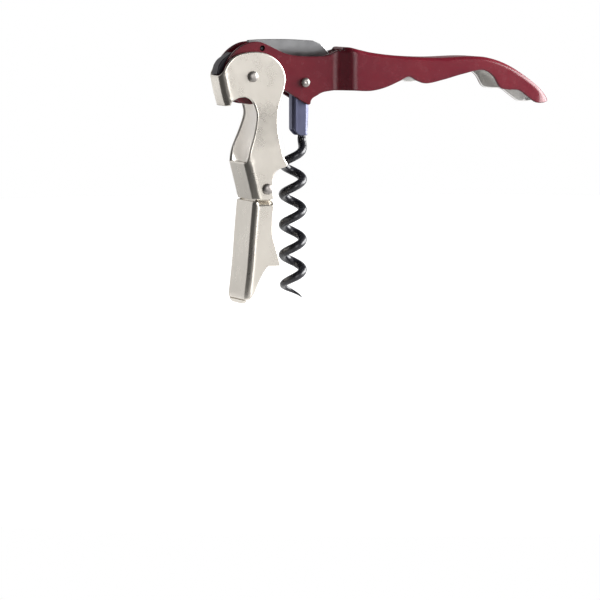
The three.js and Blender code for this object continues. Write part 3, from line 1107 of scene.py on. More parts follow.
@dataclass
class Handle:
    """The channel-shaped handle: a narrow head with an open top, and a grip with three scallops."""

    thickness: float = 1.1
    bend: float = 1.6
    edge: float = 0.28
    ramp_offset: float = 10.6
    ramp_length: float = 5.2
    ramp_ease: float = 1.5
    spine_setback: float = 2.6
    grip_length: float = 71.8
    tip_round: float = 6.6
    head_round: float = 8.65
    bores: Triple = (1.4, 1.3, 0.9)
    # how far past the grip's start the inner faces take the enamel, as painted shade
    painted_shade_past_grip: float = 0.6

    def __post_init__(self) -> None:
        """Reads the pivots and the widths from the frame."""
        self.lever = pivot("lever_fold")
        self.worm = pivot("worm_fold")
        self.knife = pivot("knife_open")
        self.head_half = node_box("knife_pivot_pin")[1][1]
        shell = node_box("handle_shell")[1]
        self.grip_half = shell[1]
        self.tip_x = shell[0]
        self.ramp_start = self.worm[0] + self.ramp_offset
        self.grip_start = self.tip_x - self.grip_length

    def on_grip(self, points: Points) -> np.ndarray:
        """Places given as percent of the way to the tip, and height over the worm's pivot."""
        percent, rise = np.asarray(points, float).T
        return np.column_stack([self.grip_start + self.grip_length * percent / 100, self.worm[1] + rise])

    def spine(self) -> np.ndarray:
        """The closed top, from its cut end over the hump to the tip.

        Returns:
            Its points, from the head to the tip.
        """
        start = self.ramp_start + self.spine_setback
        hump = [(start, self.worm[1] + 10.7), (self.grip_start - 0.8, self.worm[1] + 10.7)]
        back = self.on_grip([
            (3.3, 9.9), (9.9, 8.9), (21.7, 7.9), (39.7, 7.1), (57.8, 7.3), (67.2, 6.7),
            (77.2, 4.2), (87.8, -0.4), (97.2, -5.8), (100, -7.4),
        ])
        return smooth(np.vstack([hump, back]))

    def lower_edge(self) -> np.ndarray:
        """The cut edge from the tip back through the scallops to the head.

        Returns:
            Its points, from the tip to the head.
        """
        return smooth(self.on_grip([
            (94.7, -8.0), (90.3, -7.8), (85.8, -5.8), (81.4, -3.8), (75.8, -3.5), (71.9, -2.7),
            (68.3, 1.0), (62.8, 2.9), (53.6, 1.8), (43.9, 0.1), (35.6, -1.0), (30.8, -0.2),
            (26.5, 1.2), (21.7, -0.2), (14.7, -2.1), (7.8, -3.0), (0, -2.8),
        ]))

    def head(self) -> np.ndarray:
        """The cut edge round the head: the worm's lobe, the underside, and over the top.

        Returns:
            Its points, from the lobe to the spine's start.
        """
        lobe = placed(self.worm, [
            (10.1, -2.7), (6.4, -3.2), (4.4, -4.1), (2.4, -5.3), (1.9, -6.9), (1.1, -7.1), (-7.1, -2.3),
        ])
        under = arc(self.lever, (self.head_round, self.head_round), -32, -140)
        top = smooth(placed(self.lever, [
            (-7.4, -5.0), (-8.8, -1.6), (-9.0, 1.6), (-7.9, 4.8), (-5.3, 7.9), (-2.3, 9.8), (0.6, 10.6),
            (3.6, 10.5), (7.6, 8.8), (11.6, 7.0), (16, 6.1), (22, 5.8), (26.6, 6.1), (29.2, 7.3),
        ]))
        foot = [(self.ramp_start + self.spine_setback, self.worm[1] + 10.0)]
        return np.vstack([smooth(lobe[:5]), lobe[5:], under, top, foot])

    def half_width(self, x: np.ndarray, z: np.ndarray) -> np.ndarray:
        """Outer half width: the head, the ramp, the grip and the rounded tip.

        Args:
            x: places along x.
            z: their heights; not used.

        Returns:
            One half width for each place.
        """
        ramp_end = self.ramp_start + self.ramp_length
        half = eased_ramp(x, self.ramp_start, ramp_end, self.head_half, self.grip_half, self.ramp_ease)
        into_tip = np.clip((x - self.tip_x + self.tip_round) / self.tip_round, 0, 1)
        return half * np.sqrt(1 - into_tip**2)

    def columns(self) -> np.ndarray:
        """x of the points inside a cheek, close over the ramp and at the tip.

        Returns:
            The values of x, in rising order.
        """
        head = np.arange(self.lever[0] - 10, self.ramp_start - 1.5, 1.3)
        ramp = np.arange(self.ramp_start - 1.3, self.grip_start + 1.4, 0.33)
        grip = np.arange(self.grip_start + 2.0, self.tip_x - self.tip_round, 1.2)
        angles = np.radians(np.arange(6, 90, 6))
        return np.concatenate([head, ramp, grip, self.tip_x - self.tip_round * (1 - np.sin(angles))])

    def build(self, paint: Material, bare: Material) -> None:
        """Makes the shell: enamelled all over at the head, where its inside takes enamel as painted shade,
        and bare inside the grip.

        Args:
            paint: its paint.
            bare: the bare steel inside the grip.
        """
        sheet = FoldedSheet(
            folds=[self.spine()], edges=[np.vstack([self.lower_edge(), self.head()])],
            half_width=self.half_width, thickness=self.thickness, bend=self.bend, edge=self.edge,
            columns=self.columns(), levels=np.arange(20, 46, 1.0),
            holes=list(zip((self.lever, self.worm, self.knife), self.bores)), corner=0.7,
        )
        surface = sheet.surface()
        # The head's inner faces, to just past the grip's start, take the dark enamel instead of bare steel:
        # painted shade, so the head's inside reads dark.
        surface.finishes = [
            0 if surface.vertices[face[0]][0] < self.grip_start + self.painted_shade_past_grip else finish
            for face, finish in zip(surface.faces, surface.finishes)
        ]
        write_piece(
            "handle_folded_shell", surface, Body.HANDLE, Slot.RED_PAINT, [paint, bare], "handle_shell",
        )


@dataclass
class HeadStop:
    """The blackened stop between the head's cheeks, on the lever rivet's bush."""

    edge: float = 0.3
    eye_bore: float = 2.4
    eye_wall: float = 0.9
    rise: float = 0.7

    def build(self, finish: Material) -> None:
        """Makes the stop: a wedge that ends in an eye round the bush.

        Args:
            finish: its finish.
        """
        centre = pivot("lever_fold")
        half = node_box("head_stop")[1][1]
        radius = self.eye_bore + self.eye_wall
        face = smooth(placed(centre, [
            (-10.7, self.rise), (-10.2, 3.3), (-9.0, 5.1), (-7.4, 6.3), (-5.6, 7.6),
        ]))
        into_eye = math.degrees(math.asin(self.rise / radius))
        eye = arc(centre, (radius, radius), 106, -180 - into_eye, 70)
        plate = Plate(
            np.vstack([face, eye]), lambda p: np.full(len(p), half), self.edge,
            [(centre, self.eye_bore)], corner=0.4,
        )
        block = plate.surface()
        write_piece("head_stop_block", block, Body.HANDLE, Slot.DARK_STEEL, [finish], "head_stop")


@dataclass
class UpperArm:
    """The lever's upper arm: a folded sheet with the cap lifter, its back open in the middle."""

    thickness: float = 1.2
    bend: float = 2.4
    edge: float = 0.42
    head_half: float = 5.1
    splay_start: float = 7.0
    splay_end: float = 11.0
    tab_rise: float = 0.4
    bores: tuple[float, float] = (1.4, 1.4)
    end: float = 3.5

    def __post_init__(self) -> None:
        """Reads the pivots and the width from the frame."""
        self.lever = pivot("lever_fold")
        self.link = pivot("link_fold")
        self.foot_half = node_box("lever_upper_arm")[1][1]

    def half_width(self, x: np.ndarray, z: np.ndarray) -> np.ndarray:
        """Outer half width: narrow at the head, splayed towards the link."""
        share = smooth_step(-z, self.splay_start - self.lever[1], -self.splay_end - self.link[1])
        return self.head_half + (self.foot_half - self.head_half) * share

    def build(self, finish: Material, inside: Material) -> None:
        """Makes the arm.

        Args:
            finish: its plate.
            inside: the plate of its inner faces, rougher than the outer, and paler as painted light.
        """
        tab = smooth(placed(self.lever, [(-10.8, self.tab_rise), (-9.7, -4.8), (-8.4, -9.2)]))
        mouth = smooth(placed(self.lever, [
            (-7.4, -9.0), (-6.9, -7.8), (-6.1, -7.3), (-4.6, -6.6), (-2.6, -6.4), (-1.0, -7.0),
            (0.2, -8.1), (0.7, -9.0), (1.3, -11.2), (1.1, -13.4), (0.0, -17.4), (-1.6, -21.8),
            (-2.6, -25.2),
        ]))
        window_foot = placed(self.lever, [(-2.95, -26.5)])
        web = np.vstack([
            placed(self.lever, [(-3.3, -26.6)]), placed(self.link, [(-5.5, 2.1), (-4.1, -self.end)]),
        ])
        end = placed(self.link, [
            (1.6, -self.end), (2.3, -2.8), (2.1, 2.7), (2.6, 4.8), (3.9, 5.9), (6.8, 6.7),
        ])
        waist = smooth(placed(self.lever, [
            (10.9, -27.2), (9.6, -25.0), (8.7, -21.2), (8.2, -17.4), (8.4, -13.1), (9.0, -9.9),
            (9.8, -7.4), (10.8, -4.4),
        ]))
        head = arc(self.lever + (0.8, -1.4), (10.6, 9.1), 0, 90)
        shoulder = smooth(placed(self.lever, [
            (-1.5, 7.6), (-4.3, 7.0), (-6.5, 5.85), (-8.2, 4.1), (-9.6, 2.0), (-10.5, 0.8),
        ]))
        sheet = FoldedSheet(
            folds=[tab, eased(web, 1.5, 8)],
            edges=[np.vstack([mouth, window_foot]), np.vstack([end, waist, head, shoulder])],
            half_width=self.half_width, thickness=self.thickness, bend=self.bend, edge=self.edge,
            columns=np.arange(-28, 0, 1.1), levels=np.arange(-4, 46, 0.8),
            holes=list(zip((self.lever, self.link), self.bores)),
        )
        write_piece(
            "lever_upper_sheet", sheet.surface(), Body.LEVER, Slot.NICKEL, [finish, inside],
            "lever_upper_arm",
        )


@dataclass
class LowerArm:
    """The lever's lower arm: a folded foot with a step for the bottle's rim."""

    thickness: float = 1.2
    bend: float = 1.9
    edge: float = 0.42
    ear_half: float = 6.1
    ear_radius: float = 2.6
    joggle: float = 1.4
    joggle_ease: float = 0.25
    joggle_from: float = 0.9
    joggle_run: float = 0.9
    back: float = 4.3
    lip_z: float = -24.5
    lip_depth: float = 4.3
    tongue_start: float = -35.0
    tongue_round: float = 4.5
    tongue_share: float = 0.7
    end_ease: float = 0.06
    bore: float = 1.4

    def __post_init__(self) -> None:
        """Reads the pivot, the width and the ends from the frame."""
        self.link = pivot("link_fold")
        low, high = node_box("lever_lower_arm")
        self.half = high[1]
        self.end_x, _, self.end_z = low + (0, 0, self.end_ease)
        self.top_z = self.link[1] - 3.8

    def half_width(self, x: np.ndarray, z: np.ndarray) -> np.ndarray:
        """Outer half width: the foot, stepped in to the ears beside its bend.

        Args:
            x: places along x.
            z: their heights.

        Returns:
            One half width for each place.
        """
        ears = eased_ramp(
            -z, -self.top_z, self.joggle - self.top_z, self.ear_half, self.half, self.joggle_ease,
        )
        start = self.link[0] - self.back + self.joggle_from
        beside = smooth_step(x, start, start + self.joggle_run)
        return self.half + (ears - self.half) * beside

    def build(self, finish: Material) -> None:
        """Makes the arm.

        Args:
            finish: its finish.
        """
        drop = self.top_z - 9.6
        line = smooth([
            (self.link[0] - self.back, self.top_z), (self.link[0] - 5.2, drop),
            (self.link[0] - 6.1, self.lip_z),
            (self.end_x + 0.2, self.end_z + 3.3), (self.end_x, self.end_z),
        ], 40)
        fold = line[line[:, 1] >= self.tongue_start]
        past = line[line[:, 1] < self.tongue_start]
        lip_x = self.link[0] + 4.5
        lip_back = lip_x - self.lip_depth
        hook = smooth([
            (self.end_x + 1.4, self.end_z + 1.6), (self.end_x + 2.9, self.end_z + 3.5),
            (lip_back - 3.6, self.lip_z - 6.0), (lip_back - 1.8, self.lip_z - 2.5), (lip_back, self.lip_z),
        ])
        right = smooth([
            (lip_x, self.lip_z), (lip_x - 0.3, self.lip_z + 2.2), (lip_x - 1.5, self.lip_z + 6.2),
            (lip_x - 2.6, self.lip_z + 11.2), (lip_x - 2.1, self.top_z - self.joggle),
        ])
        ear = arc(self.link, (self.ear_radius, self.ear_radius), 0, 180)
        under_ear = [(self.link[0] - self.ear_radius, self.top_z)]
        sheet = FoldedSheet(
            folds=[fold], edges=[np.vstack([hook, right, ear, under_ear])],
            half_width=self.half_width, thickness=self.thickness, bend=self.bend, edge=self.edge,
            columns=np.arange(-20, -4, 1.1),
            levels=np.concatenate([
                np.arange(-36, -6.6, 1.2), np.arange(-6.4, -3.0, 0.22), np.arange(-2.5, 3, 1.0),
            ]),
            holes=[(self.link, self.bore)], tongue=self.tongue(fold[-1], past),
        )
        write_piece(
            "lever_lower_sheet", sheet.surface(), Body.FOOT, Slot.NICKEL, [finish, finish],
            "lever_lower_arm",
        )

    def tongue(self, start: np.ndarray, past: np.ndarray) -> np.ndarray:
        """Rows of (x, z, half width) where the web runs on to its rounded end.

        Args:
            start: where the fold line ends.
            past: the line's points beyond it.

        Returns:
            One row for each step towards its end.
        """
        line = np.vstack([start, past])
        flat = self.half - self.bend
        length = line[0, 1] - line[-1, 1]
        share = np.sin(np.linspace(0, math.pi / 2, 14))
        heights = line[0, 1] - length * share
        x = np.interp(-heights, -line[:, 1], line[:, 0])
        narrowing = 1 - np.sqrt(np.maximum(1 - share**2, 0))
        half = flat - self.tongue_round * self.tongue_share * narrowing
        return np.column_stack([x, heights, half])


@dataclass
class Rivet:
    """A domed rivet through both cheeks."""

    name: str
    node: str
    joint: str
    body: Body
    radius: float
    dimple: float = 0.0
    rise: float = 1.0
    lip: float = 0.12
    bowl: float = 0.4

    def build(self, finish: Material) -> None:
        """Makes the rivet, its heads seated on the cheeks.

        Args:
            finish: its finish.
        """
        low, high = node_box(self.node)
        top = high[1]
        head = (high[0] - low[0]) / 2
        seat = top - self.rise
        angles = np.radians(np.linspace(0, 90, 14))
        dome = [
            (head * math.cos(a), seat + self.lip + (self.rise - self.lip) * math.sin(a)) for a in angles
        ]
        if self.dimple:
            dome = [(r, y) for r, y in dome if r > self.dimple]
            drop = self.bowl * self.dimple
            rim_y = dome[-1][1]
            inwards = np.radians(np.linspace(15, 90, 6))
            dome += [(self.dimple * math.cos(a), rim_y - drop * math.sin(a)) for a in inwards]
        half = [(self.radius, seat), (head, seat), *dome]
        half[-1] = (0.0, half[-1][1])
        profile = [(r, -y) for r, y in reversed(half)] + half
        solid = turned(profile, pivot(self.joint))
        write_piece(self.name, solid, self.body, Slot.RIVET_STEEL, [finish], self.node)


@dataclass
class Sleeve:
    """A bush or a washer: a short tube with eased rims."""

    name: str
    node: str
    joint: str
    body: Body
    wall: float = 0.7
    ease: float = 0.12

    def build(self, finish: Material) -> None:
        """Makes the tube.

        Args:
            finish: its finish.
        """
        low, high = node_box(self.node)
        outer = (high[0] - low[0]) / 2
        inner = outer - self.wall
        y0, y1, e = low[1], high[1], self.ease
        profile = [
            (inner, y0 + e), (inner + e, y0), (outer - e, y0), (outer, y0 + e),
            (outer, y1 - e), (outer - e, y1), (inner + e, y1), (inner, y1 - e),
        ]
        tube = turned(profile, pivot(self.joint), 40)
        write_piece(self.name, tube, self.body, Slot.DARK_STEEL, [finish], self.node)


@dataclass
class KnifePin:
    """The knife's pivot pin, sunk a little into the cheeks; its blackened finish is partly painted shade,
    so that its end reads as a dark hole.
    """

    sink: float = 0.45
    ease: float = 0.2
    dish: float = 0.1

    def build(self, finish: Material) -> None:
        """Makes the pin.

        Args:
            finish: its finish.
        """
        low, high = node_box("knife_pivot_pin")
        radius = (high[0] - low[0]) / 2
        end = high[1] - self.sink
        half = [(radius, end - self.ease), (radius - self.ease, end), (0.0, end - self.dish)]
        profile = [(r, -y) for r, y in reversed(half)] + half
        pin = turned(profile, pivot("knife_open"), 32)
        write_piece("knife_pin", pin, Body.HANDLE, Slot.RIVET_STEEL, [finish], "knife_pivot_pin")


@dataclass
class Knife:
    """The folding foil knife: a ground blade with a rounded point."""

    thickness: float = 1.4
    grind: float = 3.2
    cutting_edge: float = 0.06
    edge: float = 0.16
    bore: float = 0.9
    back_ease: float = 0.01

    def build(self, finish: Material) -> None:
        """Makes the blade.

        Args:
            finish: its finish.
        """
        centre = pivot("knife_open")
        low, high = node_box("knife_blade")
        tip = np.array([high[0], low[2]])
        back_z = high[2] - self.back_ease
        back = smooth([
            (centre[0] - 3.5, back_z - 0.2), (centre[0] + 1.4, back_z), (tip[0] - 14.3, back_z - 0.1),
            (tip[0] - 6.3, back_z - 0.6),
        ])
        point = placed(tip, [(-3.7, 4.2), (-1.2, 2.0), (0, 1.1)])
        cutting = smooth(placed(tip, [(-2.4, 0.3), (-9, 0), (-17, 0.1)]))
        heel = [(centre[0] - 1.4, tip[1] + 0.2), (centre[0] - 2.8, tip[1] + 1.4)]
        ground = np.vstack([point[-1:], cutting])

        def half(points: np.ndarray) -> np.ndarray:
            """Half thickness, which tapers over the grind to the cutting edge.

            Args:
                points: rows of (x, z).

            Returns:
                One half thickness for each point.
            """
            away = distance_to(points, [ground])
            share = np.clip(away / self.grind, 0, 1)
            return self.cutting_edge + (self.thickness / 2 - self.cutting_edge) * share

        outline = np.vstack([back, smooth(point), cutting, heel])
        plate = Plate(outline, half, self.edge, [(centre, self.bore)], grid=0.6, corner=0.9)
        blade = plate.surface()
        write_piece("knife_ground_blade", blade, Body.KNIFE, Slot.KNIFE_STEEL, [finish], "knife_blade")


@dataclass
class Worm:
    """The wire worm: a shank flattened into the bracket, five turns and a ground point."""

    wire: float = 2.7
    pitch: float = 9.5
    turns: int = 5
    coil_top: float = 14.6
    coil_ease: float = 5.4
    point_length: float = 8.0
    point_radius: float = 0.12
    flat: float = 1.6
    bracket_mouth: float = 15.2
    sides: int = 20
    steps_per_turn: int = 44
    ease_steps: int = 6

    def angle(self, drop: float) -> float:
        """How far round the wire is, at a drop below the coil's top.

        Args:
            drop: millimetres below the coil's top.

        Returns:
            The angle in radians.
        """
        per_mm = 2 * math.pi / self.pitch
        if drop < self.coil_ease:
            return per_mm * drop**2 / (2 * self.coil_ease)
        return per_mm * (drop - self.coil_ease / 2)

    def rings(self, top: float) -> list[tuple[float, float, float, float]]:
        """The wire's cross-sections, from its top to its point.

        Args:
            top: height of the shank's end.

        Returns:
            For each, its height, its angle round the axis and its half widths out from the
            axis and across.
        """
        full = self.wire / 2
        half_flat = self.flat / 2
        rings = [(top, 0.0, full, half_flat), (self.bracket_mouth, 0.0, full, half_flat)]
        for i in range(1, self.ease_steps + 1):
            share = i / self.ease_steps
            z = self.bracket_mouth + (self.coil_top - self.bracket_mouth) * share
            rings.append((z, 0.0, full, half_flat + (full - half_flat) * share**2 * (3 - 2 * share)))
        length = self.turns * self.pitch + self.coil_ease / 2
        steps = self.turns * self.steps_per_turn
        for i in range(1, steps + 1):
            drop = length * i / steps
            share = min(1.0, (length - drop) / self.point_length)
            size = self.point_radius + (full - self.point_radius) * math.sin(share * math.pi / 2)
            rings.append((self.coil_top - drop, self.angle(drop), size, size))
        return rings

    def build(self, finish: Material) -> None:
        """Makes the wire as rings joined to a tube.

        Args:
            finish: its finish.
        """
        low, high = node_box("worm")
        radius = (high[1] - low[1]) / 2 - self.wire / 2
        rings = self.rings(high[2])
        centres = np.array([(radius * math.cos(a), -radius * math.sin(a), z) for z, a, _, _ in rings])
        along = np.gradient(centres, axis=0)
        along[:3] = (0, 0, -1)
        along /= np.linalg.norm(along, axis=1)[:, None]
        outward = np.array([(math.cos(a), -math.sin(a), 0) for _, a, _, _ in rings])
        across = np.cross(along, outward)
        across /= np.linalg.norm(across, axis=1)[:, None]
        turn = np.linspace(0, 2 * math.pi, self.sides, endpoint=False)
        vertices = [
            centre + wide * math.cos(t) * out + thick * math.sin(t) * side
            for centre, (_, _, wide, thick), out, side in zip(centres, rings, outward, across)
            for t in turn
        ]
        faces = []
        for row in range(len(rings) - 1):
            start = row * self.sides
            for i in range(self.sides):
                j = (i + 1) % self.sides
                faces.append((start + i, start + j, start + self.sides + j, start + self.sides + i))
        last = (len(rings) - 1) * self.sides
        faces.append(tuple(range(self.sides - 1, -1, -1)))
        faces.append(tuple(range(last, last + self.sides)))
        surface = Surface(np.array(vertices), faces, [0] * len(faces), np.zeros(len(vertices)))
        write_piece("worm_wire", surface, Body.WORM, Slot.BLACK_COAT, [finish], "worm")


@dataclass
class WormBracket:
    """The worm's bracket: a folded strip that holds the shank and turns on its rivet."""

    thickness: float = 0.6
    bend: float = 1.4
    edge: float = 0.26
    eye: float = 2.7
    bore: float = 1.3
    curl: float = 1.1

    def build(self, finish: Material) -> None:
        """Makes the bracket.

        Args:
            finish: its finish.
        """
        centre = pivot("worm_fold")
        low, high = node_box("worm_bracket")
        left, bottom = low[0], low[2]
        right = node_box("worm")[1][0]

        def half(x: np.ndarray, z: np.ndarray) -> np.ndarray:
            """Outer half width, which curls in round the wire at the right edge."""
            past = np.clip((x - right + self.curl) / self.curl, 0, 0.95)
            return high[1] - self.curl * (1 - np.sqrt(1 - past**2)) * (z < centre[1] - self.eye)

        top = centre[1] - self.eye
        fold = np.array([(left, top), (left, bottom + 2.0)])
        eye = arc(centre, (self.eye, self.eye), -20, 200)
        edge = np.vstack([[(left + 2.2, bottom), (right, bottom)], eye])
        curling = right - self.curl * np.linspace(1, 0.1, 6)
        sheet = FoldedSheet(
            folds=[fold], edges=[edge], half_width=half,
            thickness=self.thickness, bend=self.bend, edge=self.edge,
            columns=np.append(np.arange(left, right - self.curl, 1.0), curling),
            levels=np.arange(bottom, high[2], 1.2),
            holes=[(centre, self.bore)], corner=0.5, spacing=0.35,
        )
        write_piece(
            "worm_bracket_strip", sheet.surface(), Body.WORM, Slot.BRACKET_COAT, [finish, finish],
            "worm_bracket",
        )


# ---------- Studio ----------


def towards(azimuth: float, elevation: float) -> np.ndarray:
    """The unit direction at an azimuth, in degrees from +x towards +y, and an elevation."""
    a, e = math.radians(azimuth), math.radians(elevation)
    return np.array([math.cos(e) * math.cos(a), math.cos(e) * math.sin(a), math.sin(e)])


@dataclass(frozen=True)
class Softbox:
    """An evenly lit rectangle that faces the tool.

    Attributes:
        name: the lamp's name.
        azimuth: degrees from +x towards +y.
        elevation: degrees above the tool.
        distance: metres from it.
        size: width and height in metres.
        level: its brightness, where 1 is white.
        lights: whether it lights the tool.
        mirrored: whether it is seen in the tool's gloss.
    """

    name: str
    azimuth: float
    elevation: float
    distance: float
    size: tuple[float, float]
    level: float
    lights: bool = True
    mirrored: bool = True

    def build(self, floor_z: float) -> None:
        """Adds the lamp, which stands clear of the floor.

        Args:
            floor_z: the floor's height in metres.
        """
        data = bpy.data.lights.new(self.name, "AREA")
        data.shape = "RECTANGLE"
        data.size, data.size_y = self.size
        data.energy = self.level * math.pi * data.size * data.size_y
        lamp = new_object(self.name, data)
        way = towards(self.azimuth, self.elevation)
        lamp.location = way * self.distance
        lamp.location.z = max(lamp.location.z, floor_z + self.size[1] / 2)
        lamp.rotation_euler = Vector(-way).to_track_quat("-Z", "Y").to_euler()
        lamp.visible_camera = False
        lamp.visible_diffuse = self.lights
        lamp.visible_glossy = self.mirrored


def matt(name: str, grey: float, roughness: float, glow: float = 0.0) -> Material:
    """A dull grey material that glows white by itself.

    Args:
        name: its name.
        grey: how pale it is.
        roughness: how dull it is.
        glow: how bright it is by itself.

    Returns:
        The material.
    """
    material = bpy.data.materials.new(name)
    material.use_nodes = True
    shader = material.node_tree.nodes["Principled BSDF"]
    shader.inputs["Base Color"].default_value = (grey, grey, grey, 1)
    shader.inputs["Roughness"].default_value = roughness
    shader.inputs["Specular IOR Level"].default_value = 0.0
    shader.inputs["Emission Color"].default_value = (1, 1, 1, 1)
    shader.inputs["Emission Strength"].default_value = glow
    return material


@dataclass(frozen=True)
class Card:
    """A curved studio card that stands round the tool, out of the camera's sight.

    Attributes:
        name: the card's name.
        azimuths: its two sides, in degrees from +x towards +y.
        elevations: its lower and upper edges, in degrees.
        distance: metres from the tool.
        level: how bright it is, where 0 is black and 1 is white.
        shades: whether it keeps light off the tool, or is only mirrored in it.
        clearance: metres that it keeps above the floor.
        grey: how pale its own surface is.
    """

    name: str
    azimuths: tuple[float, float]
    elevations: tuple[float, float]
    distance: float
    level: float = 0.0
    shades: bool = True
    clearance: float = 0.001
    grey: float = 0.02

    def build(self, floor_z: float) -> None:
        """Adds the card, which follows the floor where it would go through it.

        Args:
            floor_z: the floor's height in metres.
        """
        around = np.linspace(*self.azimuths, 25)
        up = np.linspace(*self.elevations, 17)
        lowest = floor_z + self.clearance
        places = []
        for elevation in up:
            sine = math.sin(math.radians(elevation))
            reach = min(self.distance, lowest / sine) if sine < 0 else self.distance
            places += [tuple(towards(azimuth, elevation) * reach) for azimuth in around]
        wide = len(around)
        faces = [
            (row * wide + i, (row + 1) * wide + i, (row + 1) * wide + i + 1, row * wide + i + 1)
            for row in range(len(up) - 1) for i in range(wide - 1)
        ]
        mesh = bpy.data.meshes.new(self.name)
        mesh.from_pydata(places, [], faces)
        mesh.materials.append(matt(self.name, self.grey, 1.0, self.level))
        card = new_object(self.name, mesh)
        card.visible_camera = False
        card.visible_diffuse = self.shades
        card.visible_shadow = self.shades


@dataclass
class Studio:
    """Floor, lamps, cards, world and camera."""

    camera_at: Triple = (-0.4344, -0.9369, 0.0777)
    looks_at: Triple = (0.0025, 0.0, -0.03645)
    lens: float = 198.0
    sensor: float = 36.0
    floor_radius: float = 0.42
    floor_gap: float = 0.0006
    floor_grey: float = 0.36
    floor_lift: float = 0.9
    room_level: float = 0.11
    softboxes: tuple[Softbox, ...] = (
        Softbox("key_softbox", 335, 14, 0.5, (0.3, 0.3), 15.5),
        Softbox("fill_softbox", 112, 26, 0.9, (0.5, 0.5), 8.0, mirrored=False),
        Softbox("strip_softbox", 272, 2, 0.95, (0.36, 0.5), 5.0, lights=False),
        Softbox("side_softbox", 4, 12, 0.5, (0.3, 0.3), 10.0),
    )
    cards: tuple[Card, ...] = (
        Card("dark_card", (130, 258), (-1.5, 34), 1.3, 0.08),
        Card("dark_floor_card", (128, 258), (-30, -1.5), 1.3, 0.08, shades=False),
        Card("dim_card", (226, 242), (-14, 8), 1.25, 0.62, shades=False),
        Card("grey_card", (258, 335), (6, 34), 1.3, 0.22, shades=False),
        Card("top_card", (70, 430), (34, 89), 1.2, 0.12, shades=False),
        Card("low_card", (80, 127), (-70, -9), 1.25, 0.7, shades=False),
        Card("back_card", (22, 82), (-12, 34), 1.25, 0.3, shades=False),
        Card("cheek_card", (262, 325), (-7, 6), 1.25, 0.66, shades=False),
        Card("cheek_floor_card", (262, 325), (-70, -7), 1.25, 0.9, shades=False),
    )

    def camera(self) -> None:
        """Makes the camera."""
        data = bpy.data.cameras.new("camera")
        data.lens = self.lens
        data.sensor_width = self.sensor
        data.clip_start = 0.01
        camera = new_object("camera", data)
        camera.location = self.camera_at
        ahead = Vector(self.looks_at) - Vector(self.camera_at)
        camera.rotation_euler = ahead.to_track_quat("-Z", "Y").to_euler()
        bpy.context.scene.camera = camera

    def floor(self) -> None:
        """Makes the pale floor, a round plate just under the tool."""
        low = cad_box[0]
        centre = (cad_box[0] + cad_box[1]) / 2
        rim = ring(np.array([centre.x, centre.y]), self.floor_radius, 128)
        mesh = bpy.data.meshes.new("floor")
        mesh.from_pydata([(x, y, low.z - self.floor_gap) for x, y in rim], [], [tuple(range(len(rim)))])
        material = matt("pale_floor", self.floor_grey, 0.9)
        tree = material.node_tree
        lift = tree.nodes.new("ShaderNodeMath")
        lift.operation = "MULTIPLY"
        lift.inputs[1].default_value = self.floor_lift
        tree.links.new(seen_directly(tree), lift.inputs[0])
        tree.links.new(lift.outputs[0], tree.nodes["Principled BSDF"].inputs["Emission Strength"])
        mesh.materials.append(material)
        new_object("floor", mesh)

    def world(self) -> None:
        """Makes the surroundings: white in view and in gloss, with a dimmer room as light."""
        world = bpy.data.worlds.new("studio")
        bpy.context.scene.world = world
        world.use_nodes = True
        tree = world.node_tree
        room = tree.nodes["Background"]
        room.inputs["Color"].default_value = (1, 1, 1, 1)
        room.inputs["Strength"].default_value = self.room_level
        view = tree.nodes.new("ShaderNodeBackground")
        view.inputs["Color"].default_value = (1, 1, 1, 1)
        mix = tree.nodes.new("ShaderNodeMixShader")
        tree.links.new(seen_directly(tree), mix.inputs["Fac"])
        tree.links.new(room.outputs["Background"], mix.inputs[1])
        tree.links.new(view.outputs["Background"], mix.inputs[2])
        tree.links.new(mix.outputs["Shader"], tree.nodes["World Output"].inputs["Surface"])

    def build(self) -> None:
        """Sets up the whole studio."""
        bpy.context.scene.view_settings.view_transform = "Standard"
        self.camera()
        self.floor()
        self.world()
        for thing in (*self.softboxes, *self.cards):
            thing.build(cad_box[0].z - self.floor_gap)


def seen_directly(tree: bpy.types.NodeTree) -> Socket:
    """One for the camera's rays and those reflected or bent on their way, and zero for others.

    Args:
        tree: the nodes that it is added to.

    Returns:
        The value's socket.
    """
    path = tree.nodes.new("ShaderNodeLightPath")
    seen = path.outputs["Is Camera Ray"]
    for ray in ("Is Glossy Ray", "Is Transmission Ray"):
        either = tree.nodes.new("ShaderNodeMath")
        either.operation = "MAXIMUM"
        tree.links.new(seen, either.inputs[0])
        tree.links.new(path.outputs[ray], either.inputs[1])
        seen = either.outputs[0]
    return seen


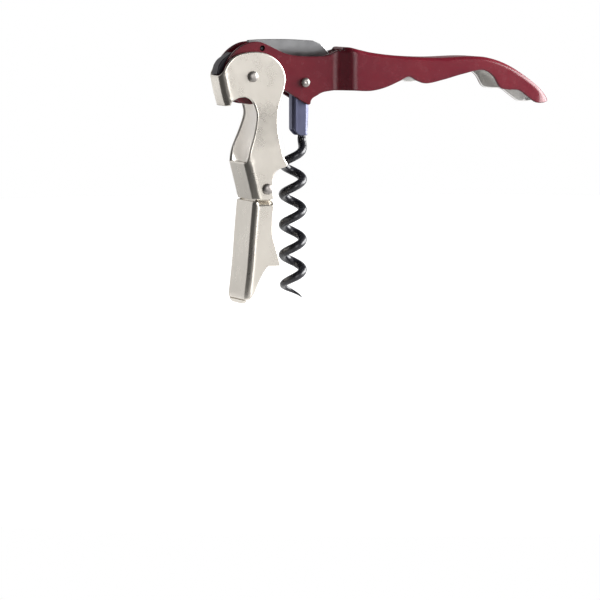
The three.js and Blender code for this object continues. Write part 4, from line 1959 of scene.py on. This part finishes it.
def main() -> None:
    """Builds the studio, then every sub-assembly in order."""
    logging.basicConfig(level=logging.INFO, format="%(name)s %(message)s")
    Studio().build()
    enamel = Enamel().make()
    nickel = PlatedSteel("nickel_plate", (0.64, 0.6, 0.54), (0.665, 0.625, 0.565)).make()
    # A paler, rougher copy of the nickel for the upper arm's inner faces: the paleness is painted light, so
    # the open back's inside reads bright.
    inner_nickel_painted_light = PlatedSteel(
        "nickel_inside_painted_light", (0.76, 0.73, 0.69), (0.79, 0.76, 0.72), (0.3, 0.4),
    ).make()
    bare = PlatedSteel("bare_sheet", (0.6, 0.59, 0.58), (0.68, 0.67, 0.65), (0.16, 0.26)).make()
    rivet_steel = PlatedSteel(
        "rivet_plate", (0.28, 0.26, 0.248), (0.31, 0.29, 0.275), (0.36, 0.46),
        grain=(2.0, 2.0, 2.0), wave_mm=0.001,
    ).make()
    blade_steel = PlatedSteel(
        "brushed_blade", (0.2, 0.2, 0.207), (0.24, 0.24, 0.242), (0.28, 0.4),
        grain=(0.25, 3.0, 4.0), grain_mm=0.0012,
    ).make()
    dark_steel = CoatedSteel(
        "blackened_steel", (0.015, 0.011, 0.019), (0.07, 0.06, 0.08), 0.4, (0.38, 0.5),
    ).make()
    black_coat = CoatedSteel(
        "black_slide_coat", (0.014, 0.014, 0.02), (0.1, 0.1, 0.11), 0.1, (0.22, 0.34), 0.3, 0.002,
    ).make()
    bracket_coat = CoatedSteel(
        "blue_black_coat", (0.09, 0.095, 0.165), (0.2, 0.22, 0.3), 0.5, (0.3, 0.42), 0.25, 0.002,
    ).make()
    Handle().build(enamel, bare)
    HeadStop().build(dark_steel)
    Sleeve("head_bush_tube", "head_bush", "lever_fold", Body.HANDLE).build(dark_steel)
    Rivet("lever_rivet", "lever_pivot_rivet", "lever_fold", Body.HANDLE, 1.1).build(rivet_steel)
    Rivet("worm_rivet", "worm_pivot_rivet", "worm_fold", Body.HANDLE, 1.0, dimple=0.5).build(rivet_steel)
    # The pin takes the blackened finish rather than rivet steel, partly as painted shade for its sunk end.
    KnifePin().build(dark_steel)
    for washer in ("knife_washer_near", "knife_washer_far"):
        Sleeve(f"{washer}_ring", washer, "knife_open", Body.HANDLE).build(dark_steel)
    UpperArm().build(nickel, inner_nickel_painted_light)
    Rivet("link_pivot_rivet", "link_rivet", "link_fold", Body.LEVER, 1.1).build(rivet_steel)
    Sleeve("link_bush_tube", "link_bush", "link_fold", Body.LEVER).build(dark_steel)
    LowerArm().build(nickel)
    Worm().build(black_coat)
    WormBracket().build(bracket_coat)
    Knife().build(blade_steel)


if __name__ == "__main__":
    main()
